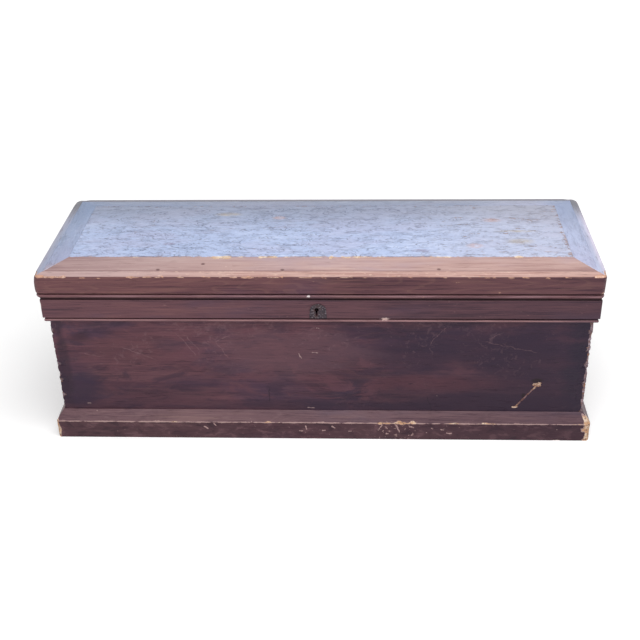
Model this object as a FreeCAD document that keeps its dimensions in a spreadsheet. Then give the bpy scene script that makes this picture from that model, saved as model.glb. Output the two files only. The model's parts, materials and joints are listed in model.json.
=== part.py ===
import FreeCAD, Part
import math
import os
import Sketcher
import PartDesign
from FreeCAD import Vector

# Blanket chest: a dovetailed board case on a bevelled base moulding, a beaded collar under the lid, and a
# box lid of mitred rim rails, mitred bevelled frame boards and a flush panel. Two butt hinges carry the
# lid, and a chest lock in the front board throws its bolt sideways into a staple under the lid.
#
# Frame: origin at the centre of the footprint on the floor, +X along the length, +Y towards the back,
# +Z up. Millimetres.

DIMENSIONS = {
    # case boards
    "case_length": 1192.0,
    "case_depth": 370.0,
    "wall_height": 344.5,
    "wall_board": 20.0,
    "bottom_board": 18.0,
    "floor_gap": 4.0,            # underside of the bottom boards above the floor
    "bottom_tongue": 6.0,        # tongue between the two bottom boards, thick and long
    "tail_count": 8.0,
    "pin_face": 10.0,            # width of a pin at the outer face of the end board
    "tail_ratio": 6.0,           # a tail spreads 1 in this many
    # base moulding
    "base_thick": 18.3,
    "base_face": 45.3,           # height of its upright face
    "base_height": 69.0,
    "base_lip": 1.5,             # what is left of its thickness at the top of the bevel
    # collar moulding under the lid
    "collar_height": 58.0,
    "collar_drop": 1.3,          # its top edge below the top of the case boards
    "collar_face": 10.0,         # how far its fascia stands out from the case
    "collar_bead": 4.5,          # radius of its bead
    "collar_bead_seat": 3.3,     # how far the bead's centre stands out
    "collar_quirk": 1.5,         # groove between the bead and the fascia
    "collar_arris": 1.2,
    # lid rim rails
    "lid_gap": 0.3,              # between the case boards and the closed lid
    "lid_overhang": 14.0,
    "rim_height": 55.0,          # from the rim's underside to where its face turns over
    "rim_foot": 2.7,             # plain foot under the rim's bead
    "rim_bead": 4.5,
    "rim_bead_setback": 5.3,     # bead's centre behind the rim's outer face
    "rim_groove": 3.5,           # height of the V groove over the bead
    "rim_face_setback": 0.9,     # foot of the rim's face behind its top
    "rim_arris": 3.0,
    "front_corner": 13.0,        # plan radius of the lid's front corners
    "back_corner": 22.0,
    "lip_width": 18.0,           # rim top that shows round the frame boards
    "lip_slope": 0.174,          # its rise for each unit inwards
    # bevelled frame boards and panel
    "bevel_rise": 8.7,           # panel above the top of the rim
    "front_bevel": 50.0,
    "end_bevel": 45.0,
    "back_bevel": 46.0,
    "frame_edge": 15.7,          # thickness of the frame boards at their outer edge
    "panel_thick": 22.0,
    "panel_tongue": 7.0,
    "panel_tongue_length": 8.0,
    "panel_tongue_drop": 8.0,    # top of the tongue below the top of the panel
    "groove_play": 0.5,          # room at the bottom of the panel grooves
    # hinges
    "hinge_length": 76.0,
    "hinge_inset": 200.0,        # hinge centre from the end of the case
    "leaf_margin": 3.0,          # leaf clear of the inside of the back board
    "leaf_thick": 2.0,
    "barrel_radius": 4.0,
    "barrel_gap": 0.3,           # barrels clear of the back board
    "barrel_relief": 0.45,       # rim clear of the barrels
    "knuckle_gap": 0.3,
    "pin_radius": 2.5,
    "pin_play": 0.05,
    # wood screws
    "screw_head": 4.0,
    "screw_shank": 2.1,
    "screw_length": 17.0,
    "screw_play": 0.1,
    "countersink_share": 0.95,   # depth of a screw's head as a share of the iron it seats in
    "hinge_screw_pitch": 26.0,
    # keyhole and escutcheon
    "key_offset": -3.0,          # key axis from the middle of the chest
    "key_drop": 25.5,            # key axis below the top of the case boards
    "key_radius": 4.7,
    "key_slot": 4.0,
    "key_slot_drop": 15.0,       # foot of the slot below the key axis
    "key_margin": 0.4,           # keyhole in the wood wider than in the iron
    "plate_offset": 3.0,         # middle of the escutcheon from the key axis
    "plate_half": 19.0,          # half the escutcheon's width at its foot
    "plate_shoulder_half": 17.5,
    "plate_foot_drop": 21.0,     # escutcheon's foot below the key axis
    "plate_top_rise": 14.5,      # escutcheon's top above the key axis
    "plate_iron": 1.2,
    "nail_head": 3.2,            # width of the square nail heads
    "nail_shank": 1.5,
    "nail_length": 8.0,
    "nail_rise": 0.7,
    # lock
    "lock_iron": 1.8,            # thickness of the lock plate and its selvedge
    "lock_margin": 8.8,          # plate beyond the cap at both ends
    "lock_height": 56.0,
    "selvedge_margin": 3.2,      # selvedge behind the face of the front board
    "works_depth": 10.6,
    "works_room": 4.0,           # bolt clear of the ends of the cap
    "cap_iron": 1.2,
    "cap_height": 47.0,
    "mortise_play": 0.5,
    "lock_screw_length": 13.0,
    "lock_screw_in": 4.9,        # lock screws in from the edges of the plate
    "drill_pin_radius": 1.7,
    "drill_pin_length": 14.0,
    "stump_radius": 1.6,
    "stump_offset": 14.0,        # stump to the left of the key axis
    # bolt, staple and spring
    "bolt_travel": 8.0,
    "bolt_play": 0.3,
    "bolt_height": 8.0,
    "bolt_drop": 9.7,            # middle of the bolt below the top of the case boards
    "bolt_tail": 2.1,            # iron left beyond the slot over the stump
    "bolt_reach": 1.0,           # drawn bolt short of the staple
    "talon_half": 4.0,
    "talon_depth": 3.0,
    "staple_offset": 14.0,       # staple to the right of the key axis
    "staple_iron": 3.0,
    "staple_side": 1.7,
    "staple_foot": 2.8,
    "staple_play": 0.6,
    "eye_play": 0.5,
    "strike_iron": 1.8,
    "strike_half": 26.0,
    "strike_width": 17.0,
    "spring_iron": 0.8,
    "spring_width": 6.0,
    "spring_foot": 5.0,
    "spring_reach": 18.0,
}

doc = FreeCAD.newDocument("blanket_chest")
sheet = doc.addObject("Spreadsheet::Sheet", "dims")
for row, (name, value) in enumerate(DIMENSIONS.items(), 1):
    sheet.set(f"A{row}", name)
    sheet.set(f"B{row}", str(value))
    sheet.setAlias(f"B{row}", name)
doc.recompute()


# ---------------------------------------------------------------- sizes that stay bound to the sheet

class Size:
    """A length that knows its value and the expression over the sheet that drives it."""

    def __init__(self, value, text):
        self.value = value
        self.text = text

    def __add__(self, other):
        other = as_size(other)
        return Size(self.value + other.value, f"({self.text} + {other.text})")

    def __sub__(self, other):
        other = as_size(other)
        return Size(self.value - other.value, f"({self.text} - {other.text})")

    def __mul__(self, other):
        other = as_size(other)
        return Size(self.value * other.value, f"({self.text} * {other.text})")

    def __truediv__(self, other):
        other = as_size(other)
        return Size(self.value / other.value, f"({self.text} / {other.text})")

    def __neg__(self):
        return Size(-self.value, f"(0 - {self.text})")

    def __radd__(self, other):
        return as_size(other) + self

    def __rsub__(self, other):
        return as_size(other) - self

    def __rmul__(self, other):
        return as_size(other) * self

    def root(self):
        return Size(math.sqrt(self.value), f"sqrt({self.text})")


def as_size(value):
    if isinstance(value, Size):
        return value
    return Size(float(value), f"({float(value)})")


def dim(name):
    return Size(float(sheet.get(name)), f"dims.{name}")


def bind(item, path, size):
    item.setExpression(path, as_size(size).text)


# ---------------------------------------------------------------- sketches and features

pieces = []


def new_piece(label):
    body = doc.addObject("PartDesign::Body", label)
    body.Label = label
    pieces.append(body)
    return body


def origin_feature(body, role):
    return next(item for item in body.Origin.OriginFeatures if item.Role == role)


def sketch_on(body, plane, level=0):
    """Empty sketch on one of the body's origin planes, moved to a level along the plane's own axis."""
    sketch = body.newObject("Sketcher::SketchObject", "sketch")
    sketch.AttachmentSupport = (origin_feature(body, plane), [""])
    sketch.MapMode = "FlatFace"
    facing = -1 if plane == "XZ_Plane" else 1
    bind(sketch, "AttachmentOffset.Base.z", facing * as_size(level))
    return sketch


def fix_point(sketch, geometry, point, x, y):
    """Hold a point of the sketch at (x, y) from the sketch's origin; None leaves that way free."""
    for kind, size in (("DistanceX", x), ("DistanceY", y)):
        if size is None:
            continue
        size = as_size(size)
        index = sketch.addConstraint(Sketcher.Constraint(kind, -1, 1, geometry, point, size.value))
        bind(sketch, f"Constraints[{index}]", size)


def draw_outline(sketch, corners, arcs=None):
    """Closed outline through the corners. arcs maps the number of the corner where a round stretch
    starts to its centre and the way it turns: +1 anticlockwise, -1 clockwise."""
    arcs = arcs or {}
    corners = [(as_size(x), as_size(y)) for x, y in corners]
    count = len(corners)
    first = sketch.GeometryCount
    ends = []
    for i, (x, y) in enumerate(corners):
        next_x, next_y = corners[(i + 1) % count]
        if i in arcs:
            centre_x, centre_y, turn = arcs[i]
            centre_x, centre_y = as_size(centre_x), as_size(centre_y)
            radius = math.hypot(x.value - centre_x.value, y.value - centre_y.value)
            start = math.atan2(y.value - centre_y.value, x.value - centre_x.value)
            stop = math.atan2(next_y.value - centre_y.value, next_x.value - centre_x.value)
            circle = Part.Circle(Vector(centre_x.value, centre_y.value, 0), Vector(0, 0, 1), radius)
            if turn < 0:
                start, stop = stop, start
            sketch.addGeometry(Part.ArcOfCircle(circle, start, stop), False)
            ends.append((1, 2) if turn > 0 else (2, 1))
        else:
            line = Part.LineSegment(Vector(x.value, y.value, 0), Vector(next_x.value, next_y.value, 0))
            sketch.addGeometry(line, False)
            ends.append((1, 2))
    for i in range(count):
        following = (i + 1) % count
        sketch.addConstraint(Sketcher.Constraint(
            "Coincident", first + i, ends[i][1], first + following, ends[following][0]))
    for i, (x, y) in enumerate(corners):
        fix_point(sketch, first + i, ends[i][0], x, y)
    for i, (centre_x, centre_y, turn) in arcs.items():
        x, y = corners[i]
        next_x, next_y = corners[(i + 1) % count]
        upright = abs(next_y.value - y.value) >= abs(next_x.value - x.value)
        fix_point(sketch, first + i, 3, centre_x if upright else None, None if upright else centre_y)


def draw_circle(sketch, x, y, radius):
    x, y, radius = as_size(x), as_size(y), as_size(radius)
    circle = Part.Circle(Vector(x.value, y.value, 0), Vector(0, 0, 1), radius.value)
    geometry = sketch.addGeometry(circle, False)
    index = sketch.addConstraint(Sketcher.Constraint("Radius", geometry, radius.value))
    bind(sketch, f"Constraints[{index}]", radius)
    fix_point(sketch, geometry, 3, x, y)


class Outline:
    def __init__(self, corners, arcs=None):
        self.corners = corners
        self.arcs = arcs

    def draw(self, sketch):
        draw_outline(sketch, self.corners, self.arcs)


class Disc:
    def __init__(self, x, y, radius):
        self.x = x
        self.y = y
        self.radius = radius

    def draw(self, sketch):
        draw_circle(sketch, self.x, self.y, self.radius)


def rectangle(x_low, y_low, x_high, y_high):
    return Outline([(x_low, y_low), (x_high, y_low), (x_high, y_high), (x_low, y_high)])


def prism(body, kind, plane, low, high, *loops):
    """Pad or Pocket of the loops that fills the span low..high along the plane's axis."""
    starts_high = (kind == "Pad") == (plane == "XZ_Plane")
    sketch = sketch_on(body, plane, high if starts_high else low)
    for loop in loops:
        loop.draw(sketch)
    feature = body.newObject(f"PartDesign::{kind}", kind.lower())
    feature.Profile = sketch
    bind(feature, "Length", as_size(high) - low)
    return feature


def turned(body, plane, level, loop, axis_x, angle, clockwise):
    """Revolution of the loop about the upright line at axis_x in the sketch."""
    sketch = sketch_on(body, plane, level)
    loop.draw(sketch)
    axis = sketch.addGeometry(Part.LineSegment(
        Vector(as_size(axis_x).value, 0, 0), Vector(as_size(axis_x).value, 1, 0)), True)
    fix_point(sketch, axis, 1, axis_x, 0)
    fix_point(sketch, axis, 2, axis_x, 1)
    feature = body.newObject("PartDesign::Revolution", "turning")
    feature.Profile = sketch
    feature.ReferenceAxis = (sketch, ["Axis0"])
    feature.Angle = angle
    feature.Reversed = clockwise
    return feature


def repeat(body, features, axis, spacing, count):
    """Linear pattern of the features along one of the body's axes."""
    pattern = body.newObject("PartDesign::LinearPattern", "pattern")
    pattern.Originals = features
    pattern.Direction = (origin_feature(body, axis), [""])
    pattern.Mode = "Spacing"
    bind(pattern, "Offset", spacing)
    bind(pattern, "Occurrences", count)
    body.Tip = pattern
    return pattern


def countersink(body, plane, x, y, face, iron, pointing):
    """Seat for a screw's head in the face of the iron; pointing is +1 where the screw points the way
    the plane faces, and face is the level along that way."""
    head = dim("screw_head") + dim("screw_play")
    shank = dim("screw_shank") + dim("screw_play")
    depth = iron * dim("countersink_share")
    cone = body.newObject("PartDesign::SubtractiveCone", "countersink")
    cone.AttachmentSupport = (origin_feature(body, plane), [""])
    cone.MapMode = "FlatFace"
    bind(cone, "AttachmentOffset.Base.x", x)
    bind(cone, "AttachmentOffset.Base.y", y)
    bind(cone, "AttachmentOffset.Base.z", face if pointing > 0 else face - depth)
    bind(cone, "Radius1", head if pointing > 0 else shank)
    bind(cone, "Radius2", shank if pointing > 0 else head)
    bind(cone, "Height", depth)
    return cone


# ---------------------------------------------------------------- levels and planes that pieces share

half_length = dim("case_length") / 2
half_depth = dim("case_depth") / 2
board = dim("wall_board")
inner_x = half_length - board
inner_y = half_depth - board

bottom_low = dim("floor_gap")
wall_low = bottom_low + dim("bottom_board")
wall_top = wall_low + dim("wall_height")
lid_low = wall_top + dim("lid_gap")
overhang = dim("lid_overhang")

arris_centre_z = lid_low + dim("rim_height")
lip_start_z = arris_centre_z + dim("rim_arris")
lip_start_out = overhang - dim("rim_arris") * (1 - dim("lip_slope"))
lip_in = overhang - dim("lip_width")


def rim_top(out):
    """Height of the sloped top of the rim."""
    return lip_start_z + (lip_start_out - out) * dim("lip_slope")


lip_top_z = rim_top(lip_in)
field_z = lip_top_z + dim("bevel_rise")
ledge_z = lip_top_z - dim("frame_edge")

hinge_x = half_length - dim("hinge_inset")
barrel_y = half_depth + dim("barrel_radius") + dim("barrel_gap")
barrel_z = wall_top + dim("lid_gap") / 2
leaf_in_y = inner_y + dim("leaf_margin")
hinge_screw_y = (leaf_in_y + half_depth) / 2

key_x = dim("key_offset")
key_z = wall_top - dim("key_drop")
front_y = -half_depth
collar_y = front_y - dim("collar_face")
plate_x = key_x + dim("plate_offset")

lock_in_y = -inner_y
plate_y = lock_in_y - dim("lock_iron")
works_y = plate_y - dim("works_depth")
works_mid_y = plate_y - dim("works_depth") / 2
cap_y = works_y - dim("cap_iron")
selvedge_y = front_y + dim("selvedge_margin")
selvedge_z = wall_top - dim("lock_iron")
bolt_z = wall_top - dim("bolt_drop")
stump_x = key_x - dim("stump_offset")
staple_x = key_x + dim("staple_offset")

slot_half = dim("stump_radius") + dim("bolt_play")
bolt_left = stump_x - dim("bolt_travel") - slot_half - dim("bolt_tail")
bolt_right = staple_x - dim("bolt_reach")
cap_left = bolt_left - dim("works_room") - dim("cap_iron")
cap_right = bolt_right + dim("bolt_travel") + dim("works_room") + dim("cap_iron")
lock_left = cap_left - dim("lock_margin")
lock_right = cap_right + dim("lock_margin")


class Side:
    """One side of the chest. A piece on it is laid out by how far it runs along the side, how far it
    stands out from the face of the case, and its height."""

    def __init__(self, name, plane, facing, half_run, half_across, bevel):
        self.name = name
        self.plane = plane
        self.facing = facing
        self.half_run = half_run
        self.half_across = half_across
        self.field_in = lip_in - dim(bevel)

    def across(self, out):
        return self.facing * (self.half_across + out)

    def section(self, points, arcs=None):
        """Outline in the plane square to the side, from (out, z) points."""
        corners = [(self.across(out), z) for out, z in points]
        placed = {i: (self.across(out), z, turn * self.facing) for i, (out, z, turn) in (arcs or {}).items()}
        return Outline(corners, placed)

    def plan(self, points):
        """Outline seen from above, from (along, out) points."""
        if self.plane == "YZ_Plane":
            return Outline([(along, self.across(out)) for along, out in points])
        return Outline([(self.across(out), along) for along, out in points])


FRONT = Side("front", "YZ_Plane", -1, half_length, half_depth, "front_bevel")
BACK = Side("back", "YZ_Plane", 1, half_length, half_depth, "back_bevel")
LEFT = Side("left", "XZ_Plane", -1, half_depth, half_length, "end_bevel")
RIGHT = Side("right", "XZ_Plane", 1, half_depth, half_length, "end_bevel")
SIDES = (FRONT, BACK, LEFT, RIGHT)


def neighbour(side, end):
    """The side that meets this one at its low (-1) or high (+1) end."""
    if side in (LEFT, RIGHT):
        return FRONT if end < 0 else BACK
    return LEFT if end < 0 else RIGHT


def mitre(body, side, end, inner, outer, z_low, z_high):
    """Cut one end of a board on the line where it meets its neighbour. inner and outer are the ends of
    that line, each given by how far out it lies on the neighbour and on this side."""
    prism(body, "Pocket", "XY_Plane", z_low, z_high, side.plan([
        (end * (side.half_run + inner[0]), inner[1]),
        (end * (side.half_run + outer[0]), outer[1]),
        (end * (side.half_run + outer[0]), inner[1]),
    ]))


# ---------------------------------------------------------------- case boards

tail_pitch = dim("wall_height") / dim("tail_count")
tail_spread = board / dim("tail_ratio")


def dovetail_board(label, y_low, y_high):
    """Front or back board: sockets for the pins of the end boards are cut into both ends, with half
    sockets at the top and bottom edges."""
    body = new_piece(label)
    prism(body, "Pad", "XZ_Plane", y_low, y_high, rectangle(-half_length, wall_low, half_length, wall_top))
    narrow = dim("pin_face") / 2
    wide = narrow + tail_spread
    sockets = []
    for end in (-1, 1):
        sockets.append(Outline([
            (end * half_length, wall_low - narrow),
            (end * half_length, wall_low + narrow),
            (end * inner_x, wall_low + wide),
            (end * inner_x, wall_low - wide),
        ]))
    cut = prism(body, "Pocket", "XZ_Plane", y_low, y_high, *sockets)
    repeat(body, [cut], "Z_Axis", tail_pitch, dim("tail_count") + 1)
    return body


def pinned_board(label, end):
    """End board: the tails of the front and back boards are cut out of its two upright edges."""
    body = new_piece(label)
    x_low, x_high = (inner_x, half_length) if end > 0 else (-half_length, -inner_x)
    prism(body, "Pad", "YZ_Plane", x_low, x_high, rectangle(-half_depth, wall_low, half_depth, wall_top))
    middle = wall_low + tail_pitch / 2
    wide = (tail_pitch - dim("pin_face")) / 2
    narrow = wide - tail_spread
    tail = Outline([
        (end * half_length, middle - wide),
        (end * half_length, middle + wide),
        (end * inner_x, middle + narrow),
        (end * inner_x, middle - narrow),
    ])
    front_cut = prism(body, "Pocket", "XZ_Plane", -half_depth, -inner_y, tail)
    back_cut = prism(body, "Pocket", "XZ_Plane", inner_y, half_depth, tail)
    repeat(body, [front_cut, back_cut], "Z_Axis", tail_pitch, dim("tail_count"))
    return body


def keyhole(body, y_low, y_high, margin):
    """Round head over a plain slot, cut through along Y."""
    radius = dim("key_radius") + margin
    half_slot = dim("key_slot") / 2 + margin
    shoulder = (radius * radius - half_slot * half_slot).root()
    prism(body, "Pocket", "XZ_Plane", y_low, y_high, Outline(
        [
            (key_x + half_slot, key_z - shoulder),
            (key_x - half_slot, key_z - shoulder),
            (key_x - half_slot, key_z - dim("key_slot_drop") - margin),
            (key_x + half_slot, key_z - dim("key_slot_drop") - margin),
        ],
        {0: (key_x, key_z, 1)},
    ))


def lock_screw_centres():
    """Centres (x, z) of the four screws at the corners of the lock plate."""
    inset = dim("lock_screw_in")
    centres = []
    for x in (lock_left + inset, lock_right - inset):
        for z in (selvedge_z - inset, wall_top - dim("lock_height") + inset):
            centres.append((x, z))
    return centres


def make_front_board():
    body = dovetail_board("front_board", -half_depth, -inner_y)
    play = dim("mortise_play")
    prism(body, "Pocket", "XZ_Plane", plate_y, lock_in_y,
          rectangle(lock_left, wall_top - dim("lock_height"), lock_right, wall_top))
    prism(body, "Pocket", "XZ_Plane", selvedge_y, plate_y,
          rectangle(lock_left, selvedge_z, lock_right, wall_top))
    prism(body, "Pocket", "XZ_Plane", cap_y - play, plate_y, rectangle(
        cap_left - play, selvedge_z - dim("cap_height") - play, cap_right + play, selvedge_z))
    keyhole(body, front_y, cap_y - play, dim("key_margin"))
    pilot = dim("screw_shank") + dim("screw_play")
    prism(body, "Pocket", "XZ_Plane", lock_in_y - dim("lock_screw_length") - 1, plate_y,
          *[Disc(x, z, pilot) for x, z in lock_screw_centres()])
    return body


def hinge_screw_discs(radius):
    """Screw positions of both hinges, seen from above."""
    discs = []
    for side in (-1, 1):
        for step in (-1, 0, 1):
            discs.append(Disc(side * hinge_x + step * dim("hinge_screw_pitch"), hinge_screw_y, radius))
    return discs


def make_back_board():
    body = dovetail_board("back_board", inner_y, half_depth)
    half = dim("hinge_length") / 2
    gains = [rectangle(side * hinge_x - half, leaf_in_y, side * hinge_x + half, half_depth)
             for side in (-1, 1)]
    prism(body, "Pocket", "XY_Plane", wall_top - dim("leaf_thick"), wall_top, *gains)
    prism(body, "Pocket", "XY_Plane", wall_top - dim("screw_length") - 1, wall_top - dim("leaf_thick"),
          *hinge_screw_discs(dim("screw_shank") + dim("screw_play")))
    return body


def make_bottom_boards():
    """Two long boards under the walls, joined by a tongue and groove along the middle."""
    tongue = dim("bottom_tongue")
    middle_z = bottom_low + dim("bottom_board") / 2
    front = new_piece("bottom_board_front")
    prism(front, "Pad", "YZ_Plane", -half_length, half_length, Outline([
        (-half_depth, bottom_low),
        (0, bottom_low),
        (0, middle_z - tongue / 2),
        (tongue, middle_z - tongue / 2),
        (tongue, middle_z + tongue / 2),
        (0, middle_z + tongue / 2),
        (0, wall_low),
        (-half_depth, wall_low),
    ]))
    back = new_piece("bottom_board_back")
    groove = tongue + dim("groove_play")
    prism(back, "Pad", "YZ_Plane", -half_length, half_length, Outline([
        (half_depth, bottom_low),
        (half_depth, wall_low),
        (0, wall_low),
        (0, middle_z + tongue / 2),
        (groove, middle_z + tongue / 2),
        (groove, middle_z - tongue / 2),
        (0, middle_z - tongue / 2),
        (0, bottom_low),
    ]))


# ---------------------------------------------------------------- mouldings on the case

def make_base_moulding(side):
    """Plinth board with a bevelled top, mitred at both ends."""
    body = new_piece(f"base_moulding_{side.name}")
    thick = dim("base_thick")
    run = side.half_run + thick
    prism(body, "Pad", side.plane, -run, run, side.section([
        (0, 0),
        (thick, 0),
        (thick, dim("base_face")),
        (dim("base_lip"), dim("base_height")),
        (0, dim("base_height")),
    ]))
    for end in (-1, 1):
        mitre(body, side, end, (0, 0), (thick, thick), 0, dim("base_height"))


def make_collar(side):
    """Collar moulding: a bead, a quirk and a flat fascia. It is mitred at the front corners and stops
    square at the back of the case."""
    body = new_piece(f"collar_{side.name}")
    face = dim("collar_face")
    bead = dim("collar_bead")
    seat = dim("collar_bead_seat")
    quirk = dim("collar_quirk")
    arris = dim("collar_arris")
    top = wall_top - dim("collar_drop")
    low = top - dim("collar_height")
    bead_top = low + bead * 2
    run = side.half_run + face
    back_end = run if side is FRONT else side.half_run
    prism(body, "Pad", side.plane, -run, back_end, side.section(
        [
            (0, low),
            (seat, low),
            (seat, bead_top),
            (seat, bead_top + quirk),
            (face, bead_top + quirk * 2),
            (face, top - arris),
            (face - arris, top),
            (0, top),
        ],
        {1: (seat, low + bead, 1)},
    ))
    for end in (-1, 1) if side is FRONT else (-1,):
        mitre(body, side, end, (0, 0), (face, face), low, top)
    return body


def make_collar_front():
    body = make_collar(FRONT)
    keyhole(body, collar_y, front_y, dim("key_margin"))
    prism(body, "Pocket", "XZ_Plane", collar_y, collar_y + dim("nail_length"),
          *nail_squares(dim("nail_shank")))


# ---------------------------------------------------------------- lid

def rim_section(side, out_low):
    """Section of a rim rail outwards of out_low, before the rabbet for the frame boards is cut."""
    seat = overhang - dim("rim_bead_setback")
    bead = dim("rim_bead")
    bead_low = lid_low + dim("rim_foot")
    bead_top = bead_low + bead * 2
    return side.section(
        [
            (out_low, lid_low),
            (seat, lid_low),
            (seat, bead_low),
            (seat, bead_top),
            (overhang - dim("rim_face_setback"), bead_top + dim("rim_groove")),
            (overhang, arris_centre_z),
            (lip_start_out, lip_start_z),
            (out_low, rim_top(out_low)),
        ],
        {2: (seat, bead_low + bead, 1), 5: (overhang - dim("rim_arris"), arris_centre_z, 1)},
    )


def corner_radius(side, end):
    """Plan radius at one end of a rim rail."""
    at_front = FRONT in (side, neighbour(side, end))
    return dim("front_corner") if at_front else dim("back_corner")


def make_rim(side):
    """Rim rail: a straight run between the corner arcs, mitred inside them, with the outer part of the
    section turned through 45 degrees round each corner, and a rabbet that carries the frame boards."""
    body = new_piece(f"lid_rim_{side.name}")
    run = {end: side.half_run + overhang - corner_radius(side, end) for end in (-1, 1)}
    prism(body, "Pad", side.plane, -run[-1], run[1], rim_section(side, -board))
    for end in (-1, 1):
        arc_out = overhang - corner_radius(side, end)
        mitre(body, side, end, (-board, -board), (arc_out, arc_out), lid_low, rim_top(-board))
        anticlockwise = end * side.facing > 0 if side.plane == "XZ_Plane" else end * side.facing < 0
        turned(body, side.plane, end * run[end], rim_section(side, arc_out),
               side.across(arc_out), 45, not anticlockwise)
    rabbet = side.half_run + lip_in
    prism(body, "Pocket", "XY_Plane", ledge_z, rim_top(-board), side.plan([
        (-rabbet, -board), (rabbet, -board), (rabbet, lip_in), (-rabbet, lip_in)]))
    return body


def make_rim_back():
    """The back rail is let in for the hinge leaves and cut away over the barrels."""
    body = make_rim(BACK)
    half = dim("hinge_length") / 2
    leaf_top = lid_low + dim("leaf_thick")
    relief = dim("barrel_relief")
    gains = []
    notches = []
    for side in (-1, 1):
        centre = side * hinge_x
        gains.append(rectangle(centre - half, leaf_in_y, centre + half, half_depth))
        notches.append(rectangle(centre - half - relief, half_depth, centre + half + relief,
                                 half_depth + overhang))
    prism(body, "Pocket", "XY_Plane", lid_low, leaf_top, *gains)
    prism(body, "Pocket", "XY_Plane", lid_low, barrel_z + dim("barrel_radius") + relief, *notches)
    prism(body, "Pocket", "XY_Plane", leaf_top, lid_low + dim("screw_length") + 1,
          *hinge_screw_discs(dim("screw_shank") + dim("screw_play")))


def strike_screw_discs(radius):
    """Two screws of the strike plate, seen from above, either side of the staple."""
    reach = dim("strike_half") - dim("lock_screw_in") - dim("screw_head") / 2
    return [Disc(staple_x + step * reach, works_mid_y - dim("staple_play"), radius) for step in (-1, 1)]


def make_rim_front():
    """The front rail is let in for the strike plate."""
    body = make_rim(FRONT)
    top = lid_low + dim("strike_iron")
    prism(body, "Pocket", "XY_Plane", lid_low, top, rectangle(
        staple_x - dim("strike_half"), lock_in_y - dim("strike_width"),
        staple_x + dim("strike_half"), lock_in_y))
    prism(body, "Pocket", "XY_Plane", top, lid_low + dim("screw_length") + 1,
          *strike_screw_discs(dim("screw_shank") + dim("screw_play")))


def make_frame_board(side):
    """Bevelled frame board on the rim's ledge, mitred at both ends and grooved for the panel."""
    body = new_piece(f"lid_frame_{side.name}")
    run = side.half_run + lip_in
    tongue_top = field_z - dim("panel_tongue_drop")
    tongue_low = tongue_top - dim("panel_tongue")
    field_in = side.field_in
    groove_in = field_in + dim("panel_tongue_length") + dim("groove_play")
    prism(body, "Pad", side.plane, -run, run, side.section([
        (lip_in, ledge_z),
        (lip_in, lip_top_z),
        (field_in, field_z),
        (field_in, tongue_top),
        (groove_in, tongue_top),
        (groove_in, tongue_low),
        (field_in, tongue_low),
        (field_in, ledge_z),
    ]))
    for end in (-1, 1):
        corner_in = (neighbour(side, end).field_in, field_in)
        mitre(body, side, end, corner_in, (lip_in, lip_in), ledge_z, field_z)


def make_panel():
    """Flush panel with a tongue all round."""
    body = new_piece("lid_panel")
    tongue_top = field_z - dim("panel_tongue_drop")
    tongue_low = tongue_top - dim("panel_tongue")
    left, right = LEFT.across(LEFT.field_in), RIGHT.across(RIGHT.field_in)
    front, back = FRONT.across(FRONT.field_in), BACK.across(BACK.field_in)
    reach = dim("panel_tongue_length")
    prism(body, "Pad", "XY_Plane", field_z - dim("panel_thick"), field_z,
          rectangle(left, front, right, back))
    prism(body, "Pad", "XY_Plane", tongue_low, tongue_top,
          rectangle(left - reach, front - reach, right + reach, back + reach))


# ---------------------------------------------------------------- hinges

def make_leaf(label, centre, knuckles, z_low, z_high, pointing):
    """Hinge leaf with its own knuckles out of three, and three countersunk screw holes."""
    body = new_piece(label)
    half = dim("hinge_length") / 2
    knuckle = dim("hinge_length") / 3
    gap = dim("knuckle_gap") / 2
    prism(body, "Pad", "XY_Plane", z_low, z_high, rectangle(centre - half, leaf_in_y, centre + half, half_depth))
    for number in knuckles:
        start = centre - half + knuckle * number
        low = start if number == 0 else start + gap
        high = start + knuckle if number == 2 else start + knuckle - gap
        prism(body, "Pad", "YZ_Plane", low, high, rectangle(half_depth - 1, z_low, barrel_y, z_high))
        prism(body, "Pad", "YZ_Plane", low, high, Disc(barrel_y, barrel_z, dim("barrel_radius")))
    prism(body, "Pocket", "YZ_Plane", centre - half, centre + half,
          Disc(barrel_y, barrel_z, dim("pin_radius") + dim("pin_play")))
    screws = [centre + step * dim("hinge_screw_pitch") for step in (-1, 0, 1)]
    hole = dim("screw_shank") + dim("screw_play")
    prism(body, "Pocket", "XY_Plane", z_low, z_high, *[Disc(x, hinge_screw_y, hole) for x in screws])
    for x in screws:
        countersink(body, "XY_Plane", x, hinge_screw_y, z_low if pointing > 0 else z_high,
                    dim("leaf_thick"), pointing)


def make_hinges():
    """Two butt hinges: the case leaf has the two outer knuckles, the lid leaf the one between."""
    for name, side in (("left", -1), ("right", 1)):
        centre = side * hinge_x
        make_leaf(f"case_hinge_leaf_{name}", centre, (0, 2), wall_top - dim("leaf_thick"), wall_top, -1)
        make_leaf(f"lid_hinge_leaf_{name}", centre, (1,), lid_low, lid_low + dim("leaf_thick"), 1)
        pin = new_piece(f"hinge_pin_{name}")
        half = dim("hinge_length") / 2
        prism(pin, "Pad", "YZ_Plane", centre - half, centre + half,
              Disc(barrel_y, barrel_z, dim("pin_radius")))


def screw_outline(centre_x, head, iron, length, pointing):
    """Half section of a countersunk screw through a thickness of iron; pointing is +1 where the tip
    lies up the sketch."""
    head_depth = iron * dim("countersink_share")
    shank = dim("screw_shank")
    return Outline([
        (centre_x, head),
        (centre_x + dim("screw_head"), head),
        (centre_x + shank, head + pointing * head_depth),
        (centre_x + shank, head + pointing * length),
        (centre_x, head + pointing * length),
    ])


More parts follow.
